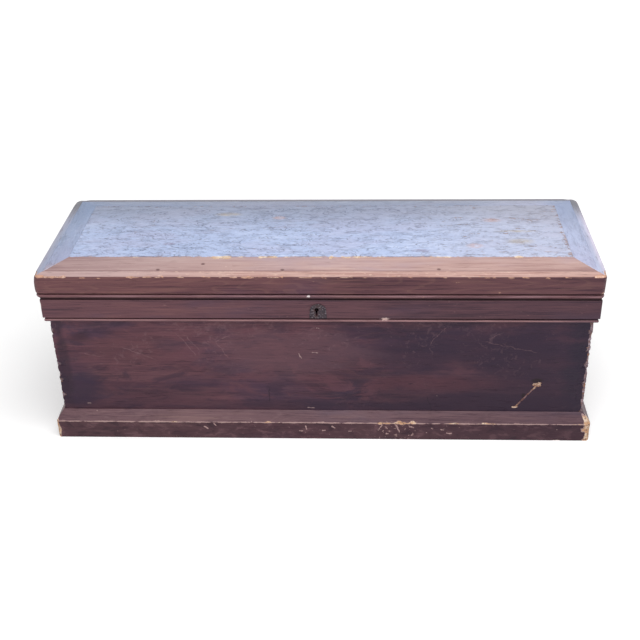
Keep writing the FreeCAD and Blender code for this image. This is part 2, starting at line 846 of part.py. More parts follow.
def make_hinge_screws(label, head, pointing):
    """Three screws through a leaf of each hinge."""
    body = new_piece(label)
    for side in (-1, 1):
        first = side * hinge_x - dim("hinge_screw_pitch")
        outline = screw_outline(first, head, dim("leaf_thick"), dim("screw_length"), pointing)
        screw = turned(body, "XZ_Plane", hinge_screw_y, outline, first, 360, False)
        repeat(body, [screw], "X_Axis", dim("hinge_screw_pitch"), 3)


# ---------------------------------------------------------------- keyhole escutcheon

def nail_squares(width):
    """Square outlines at the five small nails of the escutcheon."""
    half = width / 2
    return [rectangle(x - half, z - half, x + half, z + half) for x, z in nail_centres()]


def nail_centres():
    """Centres (x, z) of the five small nails of the escutcheon."""
    inset = dim("nail_head")
    low = key_z - dim("plate_foot_drop") + inset
    across = dim("plate_half") - inset
    top = key_z + dim("plate_top_rise") - inset
    return [(plate_x - across, low), (plate_x + across, low),
            (plate_x - across, key_z), (plate_x + across, key_z), (plate_x, top)]


def make_escutcheon():
    """Thin iron plate with an arched top round the keyhole."""
    body = new_piece("escutcheon")
    half = dim("plate_half")
    shoulder_half = dim("plate_shoulder_half")
    foot = key_z - dim("plate_foot_drop")
    rise = dim("plate_top_rise")
    radius = (rise * rise + shoulder_half * shoulder_half) / (rise * 2)
    prism(body, "Pad", "XZ_Plane", collar_y - dim("plate_iron"), collar_y, Outline(
        [
            (plate_x + shoulder_half, key_z),
            (plate_x - shoulder_half, key_z),
            (plate_x - half, foot),
            (plate_x + half, foot),
        ],
        {0: (plate_x, key_z + rise - radius, 1)},
    ))
    keyhole(body, collar_y - dim("plate_iron"), collar_y, 0)
    prism(body, "Pocket", "XZ_Plane", collar_y - dim("plate_iron"), collar_y,
          *nail_squares(dim("nail_shank")))


def make_escutcheon_nails():
    """Square cut nails, their heads on the face of the escutcheon."""
    body = new_piece("escutcheon_nails")
    head_y = collar_y - dim("plate_iron")
    prism(body, "Pad", "XZ_Plane", head_y - dim("nail_rise"), head_y, *nail_squares(dim("nail_head")))
    prism(body, "Pad", "XZ_Plane", head_y, collar_y + dim("nail_length"), *nail_squares(dim("nail_shank")))


# ---------------------------------------------------------------- lock

def make_lock_plate():
    """Upright plate flush with the inside of the front board, and a selvedge flush with its top edge
    that the staple passes through."""
    body = new_piece("lock_plate")
    prism(body, "Pad", "XZ_Plane", plate_y, lock_in_y,
          rectangle(lock_left, wall_top - dim("lock_height"), lock_right, wall_top))
    prism(body, "Pad", "XZ_Plane", selvedge_y, plate_y,
          rectangle(lock_left, selvedge_z, lock_right, wall_top))
    play = dim("staple_play") * 2
    prism(body, "Pocket", "XY_Plane", selvedge_z, wall_top, rectangle(
        staple_x - play, works_y, staple_x + dim("staple_iron") + play, plate_y))
    hole = dim("screw_shank") + dim("screw_play")
    prism(body, "Pocket", "XZ_Plane", plate_y, lock_in_y, *[
        Disc(x, z, hole) for x, z in lock_screw_centres()])
    for x, z in lock_screw_centres():
        countersink(body, "XZ_Plane", x, z, -lock_in_y, dim("lock_iron"), 1)


def make_lock_screws():
    """Countersunk screws that hold the lock plate, heads towards the inside of the chest."""
    body = new_piece("lock_screws")
    for x, z in lock_screw_centres():
        outline = screw_outline(x, lock_in_y, dim("lock_iron"), dim("lock_screw_length"), -1)
        turned(body, "XY_Plane", z, outline, x, 360, False)


def make_lock_cap():
    """Box-shaped cap over the works, open towards the plate and under the selvedge."""
    body = new_piece("lock_cap")
    iron = dim("cap_iron")
    low = selvedge_z - dim("cap_height")
    prism(body, "Pad", "XZ_Plane", cap_y, plate_y, rectangle(cap_left, low, cap_right, selvedge_z))
    prism(body, "Pocket", "XZ_Plane", works_y, plate_y,
          rectangle(cap_left + iron, low + iron, cap_right - iron, selvedge_z))
    keyhole(body, cap_y, works_y, 0)


def make_lock_pins():
    """Drill pin that a pipe key turns on, and the stump that guides the bolt."""
    drill_pin = new_piece("lock_drill_pin")
    prism(drill_pin, "Pad", "XZ_Plane", plate_y - dim("drill_pin_length"), plate_y,
          Disc(key_x, key_z, dim("drill_pin_radius")))
    stump = new_piece("lock_stump")
    prism(stump, "Pad", "XZ_Plane", works_y, plate_y,
          Disc(stump_x, bolt_z, dim("stump_radius")))


def make_lock_bolt():
    """Drawn bolt: a thick tail slotted over the stump, a talon notch for the key and a thinner nose
    that enters the staple."""
    body = new_piece("lock_bolt")
    play = dim("bolt_play")
    half_high = dim("bolt_height") / 2
    nose_start = bolt_right - dim("bolt_travel")
    nose_half = eye_half_width() - dim("eye_play")
    prism(body, "Pad", "XZ_Plane", works_y + play, plate_y - play,
          rectangle(bolt_left, bolt_z - half_high, nose_start, bolt_z + half_high))
    prism(body, "Pad", "XZ_Plane", works_mid_y - nose_half, works_mid_y + nose_half,
          rectangle(nose_start, bolt_z - half_high, bolt_right, bolt_z + half_high))
    prism(body, "Pocket", "XZ_Plane", works_y + play, plate_y - play, rectangle(
        key_x - dim("talon_half"), bolt_z - half_high,
        key_x + dim("talon_half"), bolt_z - half_high + dim("talon_depth")))
    far_x = stump_x - dim("bolt_travel")
    prism(body, "Pocket", "XZ_Plane", works_y + play, plate_y - play, Outline(
        [
            (far_x, bolt_z - slot_half),
            (stump_x, bolt_z - slot_half),
            (stump_x, bolt_z + slot_half),
            (far_x, bolt_z + slot_half),
        ],
        {1: (stump_x, bolt_z, 1), 3: (far_x, bolt_z, 1)},
    ))


def make_lock_spring():
    """Flat spring: a foot under the selvedge and a bent leaf that lies over the bolt."""
    body = new_piece("lock_spring")
    iron = dim("spring_iron")
    start = cap_left + dim("cap_iron")
    foot_end = start + dim("spring_foot")
    low_x = foot_end + dim("spring_reach") * 0.75
    end_x = foot_end + dim("spring_reach") * 1.5
    low_z = bolt_z + dim("bolt_height") / 2 + dim("bolt_play")
    tip_z = (low_z + selvedge_z) / 2
    half = dim("spring_width") / 2
    prism(body, "Pad", "XZ_Plane", works_mid_y - half, works_mid_y + half, Outline([
        (start, selvedge_z - iron),
        (foot_end, selvedge_z - iron),
        (low_x, low_z),
        (end_x, tip_z - iron),
        (end_x, tip_z),
        (low_x, low_z + iron),
        (foot_end, selvedge_z),
        (start, selvedge_z),
    ]))


def eye_half_width():
    """Half the width of the staple's eye, along Y."""
    return dim("works_depth") / 2 - dim("staple_play") - dim("staple_side")


def make_strike():
    """Strike plate let into the rim, with one staple that hangs into the lock. The eye clears the nose
    of the bolt all round."""
    body = new_piece("lock_strike")
    play = dim("eye_play")
    half_wide = dim("works_depth") / 2 - dim("staple_play")
    eye_low = bolt_z - dim("bolt_height") / 2 - play
    eye_high = bolt_z + dim("bolt_height") / 2 + play
    prism(body, "Pad", "XY_Plane", lid_low, lid_low + dim("strike_iron"), rectangle(
        staple_x - dim("strike_half"), lock_in_y - dim("strike_width"),
        staple_x + dim("strike_half"), lock_in_y))
    prism(body, "Pad", "YZ_Plane", staple_x, staple_x + dim("staple_iron"), rectangle(
        works_mid_y - half_wide, eye_low - dim("staple_foot"), works_mid_y + half_wide, lid_low))
    prism(body, "Pocket", "YZ_Plane", staple_x, staple_x + dim("staple_iron"), rectangle(
        works_mid_y - eye_half_width(), eye_low, works_mid_y + eye_half_width(), eye_high))
    hole = dim("screw_shank") + dim("screw_play")
    prism(body, "Pocket", "XY_Plane", lid_low, lid_low + dim("strike_iron"), *strike_screw_discs(hole))
    for disc in strike_screw_discs(hole):
        countersink(body, "XY_Plane", disc.x, disc.y, lid_low, dim("strike_iron"), 1)


def make_strike_screws():
    body = new_piece("strike_screws")
    for disc in strike_screw_discs(dim("screw_shank")):
        outline = screw_outline(disc.x, lid_low, dim("strike_iron"), dim("screw_length"), 1)
        turned(body, "XZ_Plane", disc.y, outline, disc.x, 360, False)


# ---------------------------------------------------------------- build, test and write

def check_model():
    """Stop if a feature failed, a cut removed nothing, or a piece is empty or unsound."""
    for item in doc.Objects:
        if "Invalid" in item.State or "Error" in item.State:
            raise RuntimeError(f"{item.Name} ({item.Label}) failed: {item.getStatusString()}")
        cuts = item.TypeId in ("PartDesign::Pocket", "PartDesign::SubtractiveCone")
        if cuts and item.BaseFeature.Shape.Volume <= item.Shape.Volume:
            raise RuntimeError(f"{item.Name} of {item.getParentGeoFeatureGroup().Label} cuts nothing")
    for piece in pieces:
        if piece.Shape.isNull() or not piece.Shape.isValid():
            raise RuntimeError(f"{piece.Label} has no sound shape")


make_front_board()
make_back_board()
pinned_board("left_end_board", -1)
pinned_board("right_end_board", 1)
make_bottom_boards()
for chest_side in SIDES:
    make_base_moulding(chest_side)
make_collar_front()
make_collar(LEFT)
make_collar(RIGHT)
make_rim_front()
make_rim_back()
make_rim(LEFT)
make_rim(RIGHT)
for chest_side in SIDES:
    make_frame_board(chest_side)
make_panel()
make_hinges()
make_hinge_screws("case_hinge_screws", wall_top, -1)
make_hinge_screws("lid_hinge_screws", lid_low, 1)
make_escutcheon()
make_escutcheon_nails()
make_lock_plate()
make_lock_screws()
make_lock_cap()
make_lock_pins()
make_lock_bolt()
make_lock_spring()
make_strike()
make_strike_screws()

doc.recompute()
check_model()
os.makedirs("parts", exist_ok=True)
for piece in pieces:
    piece.Shape.exportStep(f"parts/{piece.Label}.step")
print(len(pieces), "pieces written")
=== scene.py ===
import json
import math
import bmesh
import bpy
import numpy as np
from mathutils import Matrix, Vector, noise


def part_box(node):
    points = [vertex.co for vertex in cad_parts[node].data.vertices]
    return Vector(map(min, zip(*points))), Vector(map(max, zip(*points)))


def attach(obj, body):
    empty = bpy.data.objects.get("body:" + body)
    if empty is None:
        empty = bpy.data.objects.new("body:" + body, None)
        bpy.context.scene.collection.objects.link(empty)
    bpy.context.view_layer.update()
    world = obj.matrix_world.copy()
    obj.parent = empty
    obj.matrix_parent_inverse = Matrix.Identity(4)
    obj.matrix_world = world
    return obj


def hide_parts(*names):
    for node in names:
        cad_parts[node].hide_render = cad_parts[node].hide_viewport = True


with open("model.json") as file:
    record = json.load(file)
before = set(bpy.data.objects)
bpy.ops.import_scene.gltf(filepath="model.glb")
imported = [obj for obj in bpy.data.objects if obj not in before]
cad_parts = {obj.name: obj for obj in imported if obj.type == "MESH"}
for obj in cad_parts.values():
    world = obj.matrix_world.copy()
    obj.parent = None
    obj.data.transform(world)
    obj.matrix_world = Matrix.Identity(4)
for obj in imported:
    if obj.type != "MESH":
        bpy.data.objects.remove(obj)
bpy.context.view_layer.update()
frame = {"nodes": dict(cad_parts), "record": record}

# Blanket chest: the wooden pieces are remade from the frame's own shapes with softened, chipped and worn
# arrises, and every piece gets a node-built finish. Metres, in the frame's axes.


# --- sizes read from the frame

front_low, front_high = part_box("front_board")
HALF_LENGTH = front_high.x
HALF_DEPTH = -front_low.y
HALF = np.array([HALF_LENGTH, HALF_DEPTH])
BOARD = front_high.y - front_low.y
WALL_LOW = front_low.z
WALL_TOP = front_high.z
PANEL_LOW, TOP = (corner.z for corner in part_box("lid_panel"))
field_top = [v.co for v in frame["nodes"]["lid_panel"].data.vertices if v.co.z > TOP - 1e-5]
FIELD_X = max(p.x for p in field_top)
FIELD_FRONT = min(p.y for p in field_top)
FIELD_BACK = max(p.y for p in field_top)


def profile(node):
    """A front moulding's reach out from the case, its low and high levels, and where its outer face ends."""
    low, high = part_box(node)
    points = [v.co for v in frame["nodes"][node].data.vertices]
    outermost = min(p.y for p in points)
    return -low.y - HALF_DEPTH, low.z, high.z, max(p.z for p in points if p.y < outermost + 1e-5)


BASE_OUT, _, BASE_TOP, BASE_ARRIS = profile("base_moulding_front")
COLLAR_OUT, COLLAR_LOW, COLLAR_TOP, COLLAR_ARRIS = profile("collar_front")
RIM_OUT, LID_LOW, LIP_TOP, RIM_ARRIS = profile("lid_rim_front")
BOARD_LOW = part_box("lid_frame_front")[0].z   # underside of the frame boards
LIP_INNER = 0.004    # how far inside the case's faces the lip ends
LIP_FALL = 0.174     # fall of the lip for each metre out
RIM_BEAD_TOP = LID_LOW + 0.0117
RIM_FACE_LOW = RIM_BEAD_TOP + 0.0035

# A side's run axis, the axis across it, and the way it faces.
SIDES = {"front": (0, 1, -1), "back": (0, 1, 1), "left": (1, 0, -1), "right": (1, 0, 1)}


# --- fields over points

def fractal(points, size, octaves=3, shift=0.0):
    """Smooth noise, about -1 to 1, with features of the given size."""
    places = points / size + shift
    return np.array([noise.fractal(Vector(p), 1.0, 2.0, octaves) for p in places])


def ease(value, low, high):
    t = np.clip((value - low) / (high - low), 0.0, 1.0)
    return t * t * (3 - 2 * t)


def outness(points):
    """How far each point stands out from the faces of the case."""
    return (np.abs(points[:, :2]) - HALF).max(axis=1)


def from_line(points, out, height):
    """Distance from an arris that runs round the chest."""
    return np.hypot(outness(points) - out, points[:, 2] - height)


def from_corner(points, out):
    """Distance in plan from the nearest upright corner of an outline that stands out this far."""
    return np.hypot(*(np.abs(points[:, :2]) - HALF - out).T)


def from_segment(across, up, start, end):
    """Distance in a plane from a straight stroke, and how far along it the nearest point lies (0 to 1)."""
    step = np.subtract(end, start)
    along = np.clip(((across - start[0]) * step[0] + (up - start[1]) * step[1]) / (step @ step), 0, 1)
    return np.hypot(across - start[0] - along * step[0], up - start[1] - along * step[1]), along


def chipped(points, distance, reach, amount, shift):
    """Depth of the chips along an arris. Noise decides where they are and how far they reach in; they are
    longer along the chest's sides than they are tall."""
    depth = np.zeros(len(points))
    reach, amount = (np.broadcast_to(value, len(points)) for value in (reach, amount))
    near = distance < reach * 2
    if near.any():
        spots = points[near] * (0.5, 0.5, 1)
        broad = fractal(spots, 0.03, 2, shift)
        fine = fractal(spots, 0.008, 3, shift + 7)
        bite = reach[near] * np.clip(broad * 0.7 + fine * 0.8 + amount[near], 0, 1.6)
        depth[near] = np.clip(bite - distance[near], 0, None) * 0.45
    return depth


def push_in(points, depth, out, low, high, keep=0.012):
    """Move points towards the core of a box that stands out this far and spans low to high."""
    half = HALF + out - keep
    core = points.copy()
    core[:, :2] = np.clip(points[:, :2], -half, half)
    core[:, 2] = np.clip(points[:, 2], low + keep, max(high - keep, low + keep))
    way = core - points
    length = np.linalg.norm(way, axis=1)
    moved = length > 1e-6
    points[moved] += way[moved] / length[moved, None] * np.minimum(depth, length)[moved, None]


def round_corners(points, out, radius):
    """Round the four upright corners of an outline in plan; radius may change from point to point.
    Returns how far each point moved."""
    radius = np.broadcast_to(radius, len(points))
    plan = points[:, :2]
    centre = HALF + out - radius[:, None]
    past = np.abs(plan) - centre
    distance = np.hypot(*past.T)
    outside = (past > 0).all(axis=1) & (distance > radius)
    share = (radius / np.maximum(distance, 1e-9))[:, None]
    plan[outside] = (np.sign(plan) * (centre + past * share))[outside]
    return np.where(outside, distance - radius, 0.0)


def round_over(points, out, height, radius, drop):
    """Round the top of an outline's corners, whose plan has a given radius, over a given drop. height is
    that of the top face above each point. Returns how far each point moved."""
    x_out, y_out = np.abs(points[:, :2]).T - (HALF[:, None] + out - radius)
    past = np.stack([x_out, y_out, (points[:, 2] - (height - drop)) * radius / drop], axis=1)
    beyond = np.clip(past, 0, None)
    distance = np.linalg.norm(beyond, axis=1)
    cut = np.where(distance > radius, 1 - radius / np.maximum(distance, 1e-9), 0.0)
    shift = beyond * cut[:, None]
    points[:, :2] -= np.sign(points[:, :2]) * shift[:, :2]
    points[:, 2] -= shift[:, 2] * drop / radius
    return np.linalg.norm(shift, axis=1)


# --- meshes from the frame's nodes

def new_object(name, data):
    thing = bpy.data.objects.new(name, data)
    bpy.context.scene.collection.objects.link(thing)
    return thing


def clean_copy(node):
    """The node's shape with its flat faces whole again."""
    bm = bmesh.new()
    bm.from_mesh(frame["nodes"][node].data)
    bmesh.ops.remove_doubles(bm, verts=bm.verts, dist=2e-6)
    bmesh.ops.dissolve_limit(bm, angle_limit=0.01, verts=bm.verts, edges=bm.edges)
    return bm


def soften(bm, width):
    """Take the sharpness off the convex edges."""
    sharp = [e for e in bm.edges if e.is_manifold and e.is_convex and e.calc_face_angle(0) > math.radians(28)]
    bmesh.ops.bevel(bm, geom=sharp, offset=width, segments=2, profile=0.5, affect="EDGES", clamp_overlap=True)


def slice_along(bm, axis, stops, *within):
    """Cut the mesh square to an axis at each stop. Each of within is an (axis, low, high) span that a face's
    middle has to lie in, for a cut of only part of the mesh."""
    normal = Vector([float(i == axis) for i in range(3)])
    ahead = bm.faces[:]
    if within:
        middles = [(face, face.calc_center_median()) for face in ahead]
        ahead = [face for face, middle in middles
                 if all(low < middle[other] < high for other, low, high in within)]
    for stop in sorted(stops):
        edges = {edge for face in ahead for edge in face.edges}
        cut = bmesh.ops.bisect_plane(bm, geom=ahead + list(edges), dist=1e-7, plane_co=normal * stop,
                                     plane_no=normal)
        ahead = [part for part in cut["geom"]
                 if isinstance(part, bmesh.types.BMFace) and part.calc_center_median()[axis] > stop]


def divide_along(bm, axis, step):
    """Divide the long edges that run along an axis, with the faces between them, into even steps."""
    groups = {}
    for edge in bm.edges:
        first, second = (v.co for v in edge.verts)
        run = abs(second[axis] - first[axis])
        if run > 1.5 * step and run > 0.9999 * (second - first).length:
            groups.setdefault(round(run / step), []).append(edge)
    for parts, edges in groups.items():
        bmesh.ops.subdivide_edges(bm, edges=edges, cuts=parts - 1, use_grid_fill=True)


def spaced(low, high, step, fine=None, margin=0.0):
    """Evenly spaced stops, closer together within a margin of both ends."""
    stops = list(np.arange(low + step, high, step))
    if fine:
        stops += list(np.arange(low + fine, low + margin, fine))
        stops += list(np.arange(high - fine, high - margin, -fine))
    return stops


def worn_piece(node, body, material, cuts, wear, softness=0.0005, run=None):
    """Remake a node as a finely divided mesh, wear it and put it in the node's place. The wear function
    moves the points and returns how bare the wood is at each. run is the axis of a moulding's length."""
    bm = clean_copy(node)
    soften(bm, softness)
    for cut in cuts:
        slice_along(bm, *cut)
    if run is not None:
        divide_along(bm, run, step=0.003)
    mesh = bpy.data.meshes.new(node + "_worn")
    bm.to_mesh(mesh)
    bm.free()
    points = np.empty(len(mesh.vertices) * 3, np.float32)
    mesh.vertices.foreach_get("co", points)
    points = points.reshape(-1, 3).astype(float)
    bare = wear(points)
    mesh.vertices.foreach_set("co", points.astype(np.float32).ravel())
    mesh.attributes.new("bare", "FLOAT", "POINT").data.foreach_set("value", bare.astype(np.float32))
    mesh.materials.append(material)
    mesh.shade_smooth()
    mesh.set_sharp_from_angle(angle=math.radians(32))
    piece = new_object(node + "_worn", mesh)
    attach(piece, body)
    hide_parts(node)


# --- wear of each kind of piece

# Stretches along the front where an arris is chipped, from the middle of the chest: start, end, amount.
BASE_CHIPS = ((-0.442, 0.045, 0.16), (0.134, 0.214, 0.95), (0.307, 0.326, 0.6), (0.362, 0.398, 0.5))
WORST_CHIPS = (0.134, 0.214)   # stretch of the base's arris where the chips are largest
LID_CHIPS = ((-0.605, -0.546, 1.25), (-0.399, -0.285, 0.65), (-0.17, 0.1, 0.4), (0.32, 0.36, 0.6),
             (0.585, 0.61, 1.0))
FIELD_CHIPS = ((-0.236, -0.192, 0.75), (-0.126, -0.094, 0.85), (-0.09, 0.026, 0.45), (0.026, 0.144, 0.85),
               (0.24, 0.3, 0.55), (0.423, 0.444, 1.0))


def along_front(points, stretches, usual):
    """Amount of chipping at each point: more in the given stretches of the front."""
    x, y, _ = points.T
    amount = np.full(len(points), usual)
    for start, end, extra in stretches:
        inside = ease(x, start - 0.01, start) * (1 - ease(x, end, end + 0.01))
        amount += np.where(y < -HALF_DEPTH, inside * extra, 0.0)
    return amount


def wear_base(points):
    x, y, z = points.T
    corner = from_corner(points, BASE_OUT)
    right_front = (x > 0) & (y < 0)
    radius = 0.005 + 0.002 * fractal(points, 0.02, 2) + 0.004 * right_front
    moved = round_corners(points, BASE_OUT, np.clip(radius, 0.003, 0.012))
    arris = from_line(points, BASE_OUT, BASE_ARRIS)
    amount = along_front(points, BASE_CHIPS, -0.34) + 0.5 * (1 - ease(corner, 0.0, 0.03))
    reach = along_front(points, ((*WORST_CHIPS, 0.0018),), 0.0045)
    below = np.clip(BASE_ARRIS - z, 0, None)
    depth = chipped(points, arris + below, reach, amount, 3.0)
    depth += chipped(points, from_line(points, BASE_OUT, 0.0), 0.004, -0.45, 11.0)
    depth += chipped(points, corner, 0.01, 0.1 + 0.35 * right_front, 19.0)
    push_in(points, depth, BASE_OUT, -0.012, BASE_TOP + 0.012)
    reach = np.where(right_front, 0.017, 0.006) * (1 + 0.7 * fractal(points, 0.016, 3, 59.0))
    near_corner = 1 - ease(corner, reach - 0.001, reach + 0.001)
    # The rub along the arris also stands as a painted highlight on it.
    rubbed_and_highlit = 0.45 * (1 - ease(arris, 0.0008, 0.0024))
    return np.clip(np.maximum(depth / 0.0006 + near_corner, rubbed_and_highlit) + moved / 0.004, 0, 1)


def wear_collar(points):
    depth = chipped(points, from_line(points, COLLAR_OUT, COLLAR_ARRIS), 0.003, -0.45, 23.0)
    depth += chipped(points, from_corner(points, COLLAR_OUT), 0.006, 0.1, 29.0)
    push_in(points, depth, COLLAR_OUT, COLLAR_LOW - 0.012, COLLAR_TOP)
    round_corners(points, COLLAR_OUT, 0.002)
    return np.clip(depth / 0.0012, 0, 0.5)


LID_CORNER = 0.0125   # radius of the lid's corners in plan
SWELL = 0.0048        # how far its left front corner has swollen out


def wear_rim(points):
    """The lid's top arris is chipped along the front, and its corners are worn round."""
    x, y, z = points.T
    share = 1 - ease(from_corner(points, RIM_OUT - 0.006), 0.012, 0.045)
    front = y < 0
    left_front = (x < 0) & front
    drop = 0.003 + 0.004 * front + 0.008 * left_front
    height = LIP_TOP - LIP_FALL * (outness(points) + LIP_INNER) + (1 - share) * drop
    rise = (z - LID_LOW) / (RIM_ARRIS - LID_LOW)
    swollen = np.interp(rise, (0, 0.2, 0.4, 0.65, 0.85, 1), (0.5, 0.8, 1, 0.9, 0.5, 0))
    swell = SWELL * left_front
    x -= share * swollen * swell
    moved = round_over(points, RIM_OUT + swell, height, LID_CORNER + swell, drop)
    amount = along_front(points, LID_CHIPS, -0.45)
    arris = from_line(points, RIM_OUT, RIM_ARRIS)
    below = 1.5 * np.clip(RIM_ARRIS - z, 0, None)
    depth = chipped(points, arris + below, 0.0042, amount, 31.0)
    depth += chipped(points, from_corner(points, RIM_OUT - 0.004), 0.007, np.where(front, -0.1, -0.6), 37.0)
    push_in(points, depth, RIM_OUT, LID_LOW - 0.012, LIP_TOP)
    # The rub along the front arris also stands as a painted highlight on it.
    rubbed_and_highlit = np.where(y < -HALF_DEPTH, 0.16 * (1 - ease(arris, 0.0015, 0.0045)), 0.0)
    return np.clip(np.maximum(depth / 0.0006 + moved * front / 0.005, rubbed_and_highlit), 0, 1)


# The gouge in the front board: start and end (x, z) of its stroke and half its width, and the middles and
# half sizes of the dents at its head and foot.
GOUGE_TOP, GOUGE_FOOT = (0.486, 0.138), (0.443, 0.081)
GOUGE_HALF = 0.0021
GOUGE_DENTS = (((0.4885, 0.1415), (0.0112, 0.0066)), ((0.4425, 0.0805), (0.0066, 0.0036)))
GOUGE_SPAN = ((0.432, 0.506), (0.074, 0.156))   # x and z span of the fine cuts round it
CORNER_REACH = 0.018   # how far the wear of the case's upright corners reaches in from them
SKIN = 0.0003          # how near to a face a point counts as on it


def wear_case(points):
    """The case's corners are rounded and bitten at the dovetails, most of all the right front one."""
    x, y, z = points.T
    corner = from_corner(points, 0.0)
    right_front = (x > 0) & (y < 0)
    jagged = fractal(points, 0.012, 3, 41.0)
    moved = round_corners(points, 0.0, np.clip(0.0022 + 0.0012 * jagged, 0.0012, 0.006))
    depth = chipped(points, corner, 0.007, 0.15 + 0.1 * right_front, 43.0)
    push_in(points, depth, 0.0, WALL_LOW - 0.012, WALL_TOP + 0.012)
    bare = depth / 0.0006 + moved / 0.003
    strip = 0.0055 + 0.004 * fractal(points * np.array([1, 1, 0.5]), 0.012, 3, 61.0)
    bare += np.where(right_front, 1 - ease(corner, strip - 0.0008, strip + 0.0008), 0.0)

    front = y < -HALF_DEPTH + SKIN
    distance, along = from_segment(x, z, GOUGE_TOP, GOUGE_FOOT)
    ragged = 1 + 0.45 * fractal(points, 0.006, 3, 47.0)
    spread = distance / GOUGE_HALF
    for (across, up), (wide, high) in GOUGE_DENTS:
        spread = np.minimum(spread, np.hypot((x - across) / wide, (z - up) / high))
    scoop = np.where(front, np.clip(1 - (spread / ragged) ** 2, 0, None), 0.0)
    y += scoop ** 0.6 * (0.0022 - 0.0012 * along)
    return np.clip(np.maximum(bare, ease(scoop, 0.0, 0.25)), 0, 1)


def wear_lid_top(points):
    """The joint between the front bevel and the panel is chipped here and there."""
    x, y, z = points.T
    distance = np.hypot(y - FIELD_FRONT, (z - TOP) * 0.6)
    amount = np.full(len(points), -0.36)
    for start, end, extra in FIELD_CHIPS:
        amount += extra * ease(x, start - 0.008, start) * (1 - ease(x, end, end + 0.008))
    depth = chipped(points, distance, 0.0065, amount, 53.0) * (1 - ease(distance, 0.007, 0.0105))
    z -= np.minimum(depth * 0.8, 0.0016)
    return np.clip(depth / 0.0007, 0, 1)


# --- marks and colours, read off the photograph. Colours are 0-255 screen values

# Strokes on the front board from one (x, z) to another: scratches, pale nicks and dark cracks.
SCRATCHES = (
    ((-0.319, 0.275), (-0.298, 0.2515)), ((-0.298, 0.2515), (-0.279, 0.217)),
    ((-0.299, 0.27), (-0.269, 0.231)), ((-0.199, 0.27), (-0.229, 0.252)), ((-0.229, 0.252), (-0.205, 0.212)),
    ((0.245, 0.246), (0.262, 0.272)), ((0.262, 0.272), (0.28, 0.2925)), ((0.365, 0.254), (0.4756, 0.229)),
    ((0.375, 0.26), (0.402, 0.28)), ((-0.54, 0.222), (-0.49, 0.212)), ((-0.44, 0.235), (-0.37, 0.205)),
)
NICKS = (
    ((-0.047, 0.222), (-0.04, 0.209)), ((-0.004, 0.291), (0.001, 0.2875)),
    ((-0.541, 0.0845), (-0.532, 0.0835)), ((-0.03, 0.0745), (-0.014, 0.074)),
    ((0.264, 0.111), (0.266, 0.109)), ((-0.016, 0.225), (-0.003, 0.225)),
)
CRACKS = (
    ((0.243, 0.107), (0.255, 0.071)), ((0.2, 0.143), (0.211, 0.141)), ((-0.118, 0.092), (-0.116, 0.128)),
)
# Painted shadow round the gouge: middle (x, z) and half sizes.
GOUGE_SHADOWS = (((0.487, 0.153), (0.015, 0.0068)), ((0.459, 0.113), (0.006, 0.007)))
# Nicks in the front face of the base, and the x of those in the beads of the rim and the collar.
BASE_NICKS = (
    ((-0.05, 0.0225), (-0.041, 0.021)), ((-0.0335, 0.0375), (-0.0325, 0.026)),
    ((0.003, 0.022), (0.011, 0.0225)), ((0.025, 0.036), (0.034, 0.032)), ((0.064, 0.0225), (0.071, 0.023)),
    ((0.133, 0.031), (0.141, 0.04)), ((0.15, 0.014), (0.156, 0.016)), ((0.175, 0.041), (0.18, 0.02)),
    ((0.203, 0.038), (0.214, 0.033)), ((0.207, 0.011), (0.213, 0.0145)), ((0.242, 0.0215), (0.2445, 0.0215)),
    ((0.253, 0.031), (0.258, 0.03)), ((0.274, 0.028), (0.283, 0.027)), ((0.289, 0.02), (0.301, 0.017)),
    ((-0.27, 0.034), (-0.26, 0.028)), ((-0.247, 0.042), (-0.241, 0.036)),
)
RIM_NICK, COLLAR_NICK = -0.0195, 0.145
# Nail holes in the front bevel (x, y).
NAIL_HOLES = ((-0.343, -0.176), (-0.248, -0.156), (-0.075, -0.176), (0.258, -0.174))

# Stains on the front board: middle (x, z), half width and height, colour and strength.
STAINS = (
    ((-0.55, 0.118), (0.056, 0.055), (44, 32, 58), 0.75),
    ((-0.578, 0.2), (0.016, 0.14), (50, 32, 46), 0.7),
    ((0.33, 0.24), (0.31, 0.075), (46, 30, 50), 0.8),
    ((0.5, 0.17), (0.21, 0.17), (44, 28, 48), 0.65),
    ((0.42, 0.088), (0.34, 0.034), (44, 28, 48), 0.8),
    ((0.27, 0.144), (0.19, 0.022), (96, 54, 62), 0.6),
    ((0.59, 0.17), (0.055, 0.18), (28, 24, 44), 0.8),
    ((-0.598, 0.13), (0.022, 0.08), (40, 24, 44), 0.7),
    ((-0.338, 0.243), (0.04, 0.02), (56, 42, 60), 0.45),
    ((-0.54, 0.264), (0.032, 0.018), (62, 34, 44), 0.6),
    ((0.1, 0.08), (0.5, 0.018), (46, 32, 50), 0.6),
    ((-0.06, 0.228), (0.21, 0.08), (108, 76, 84), 0.5),
    ((-0.43, 0.23), (0.12, 0.05), (94, 58, 64), 0.4),
)

# Stains on the lid's panel: middle (x, y), half width and depth, and colour.
PINK, STRAW, INK = (206, 168, 162), (190, 178, 164), (122, 104, 134)
FIELD_STAINS = (
    ((0.392, 0.053), (0.024, 0.012), PINK), ((0.342, -0.077), (0.022, 0.014), PINK),
    ((0.444, -0.056), (0.036, 0.016), STRAW), ((0.439, -0.005), (0.05, 0.007), STRAW),
    ((-0.22, 0.087), (0.036, 0.012), STRAW), ((-0.099, 0.068), (0.018, 0.01), PINK),
    ((0.223, -0.101), (0.024, 0.009), INK), ((-0.335, -0.068), (0.016, 0.008), INK),
)

BARE_LINE = (128, 92, 90)
CREAM, ORANGE, TAN = (226, 200, 174), (198, 154, 116), (140, 100, 78)
# The darkest of these serves both for grime in grooves and for painted shadow under the lid.
LILAC, GREY_WOOD, GRIME_AND_SHADOW = (160, 142, 152), (112, 92, 98), (38, 12, 20)
RAW_LIGHT, RAW_DARK = (180, 148, 112), (130, 98, 70)
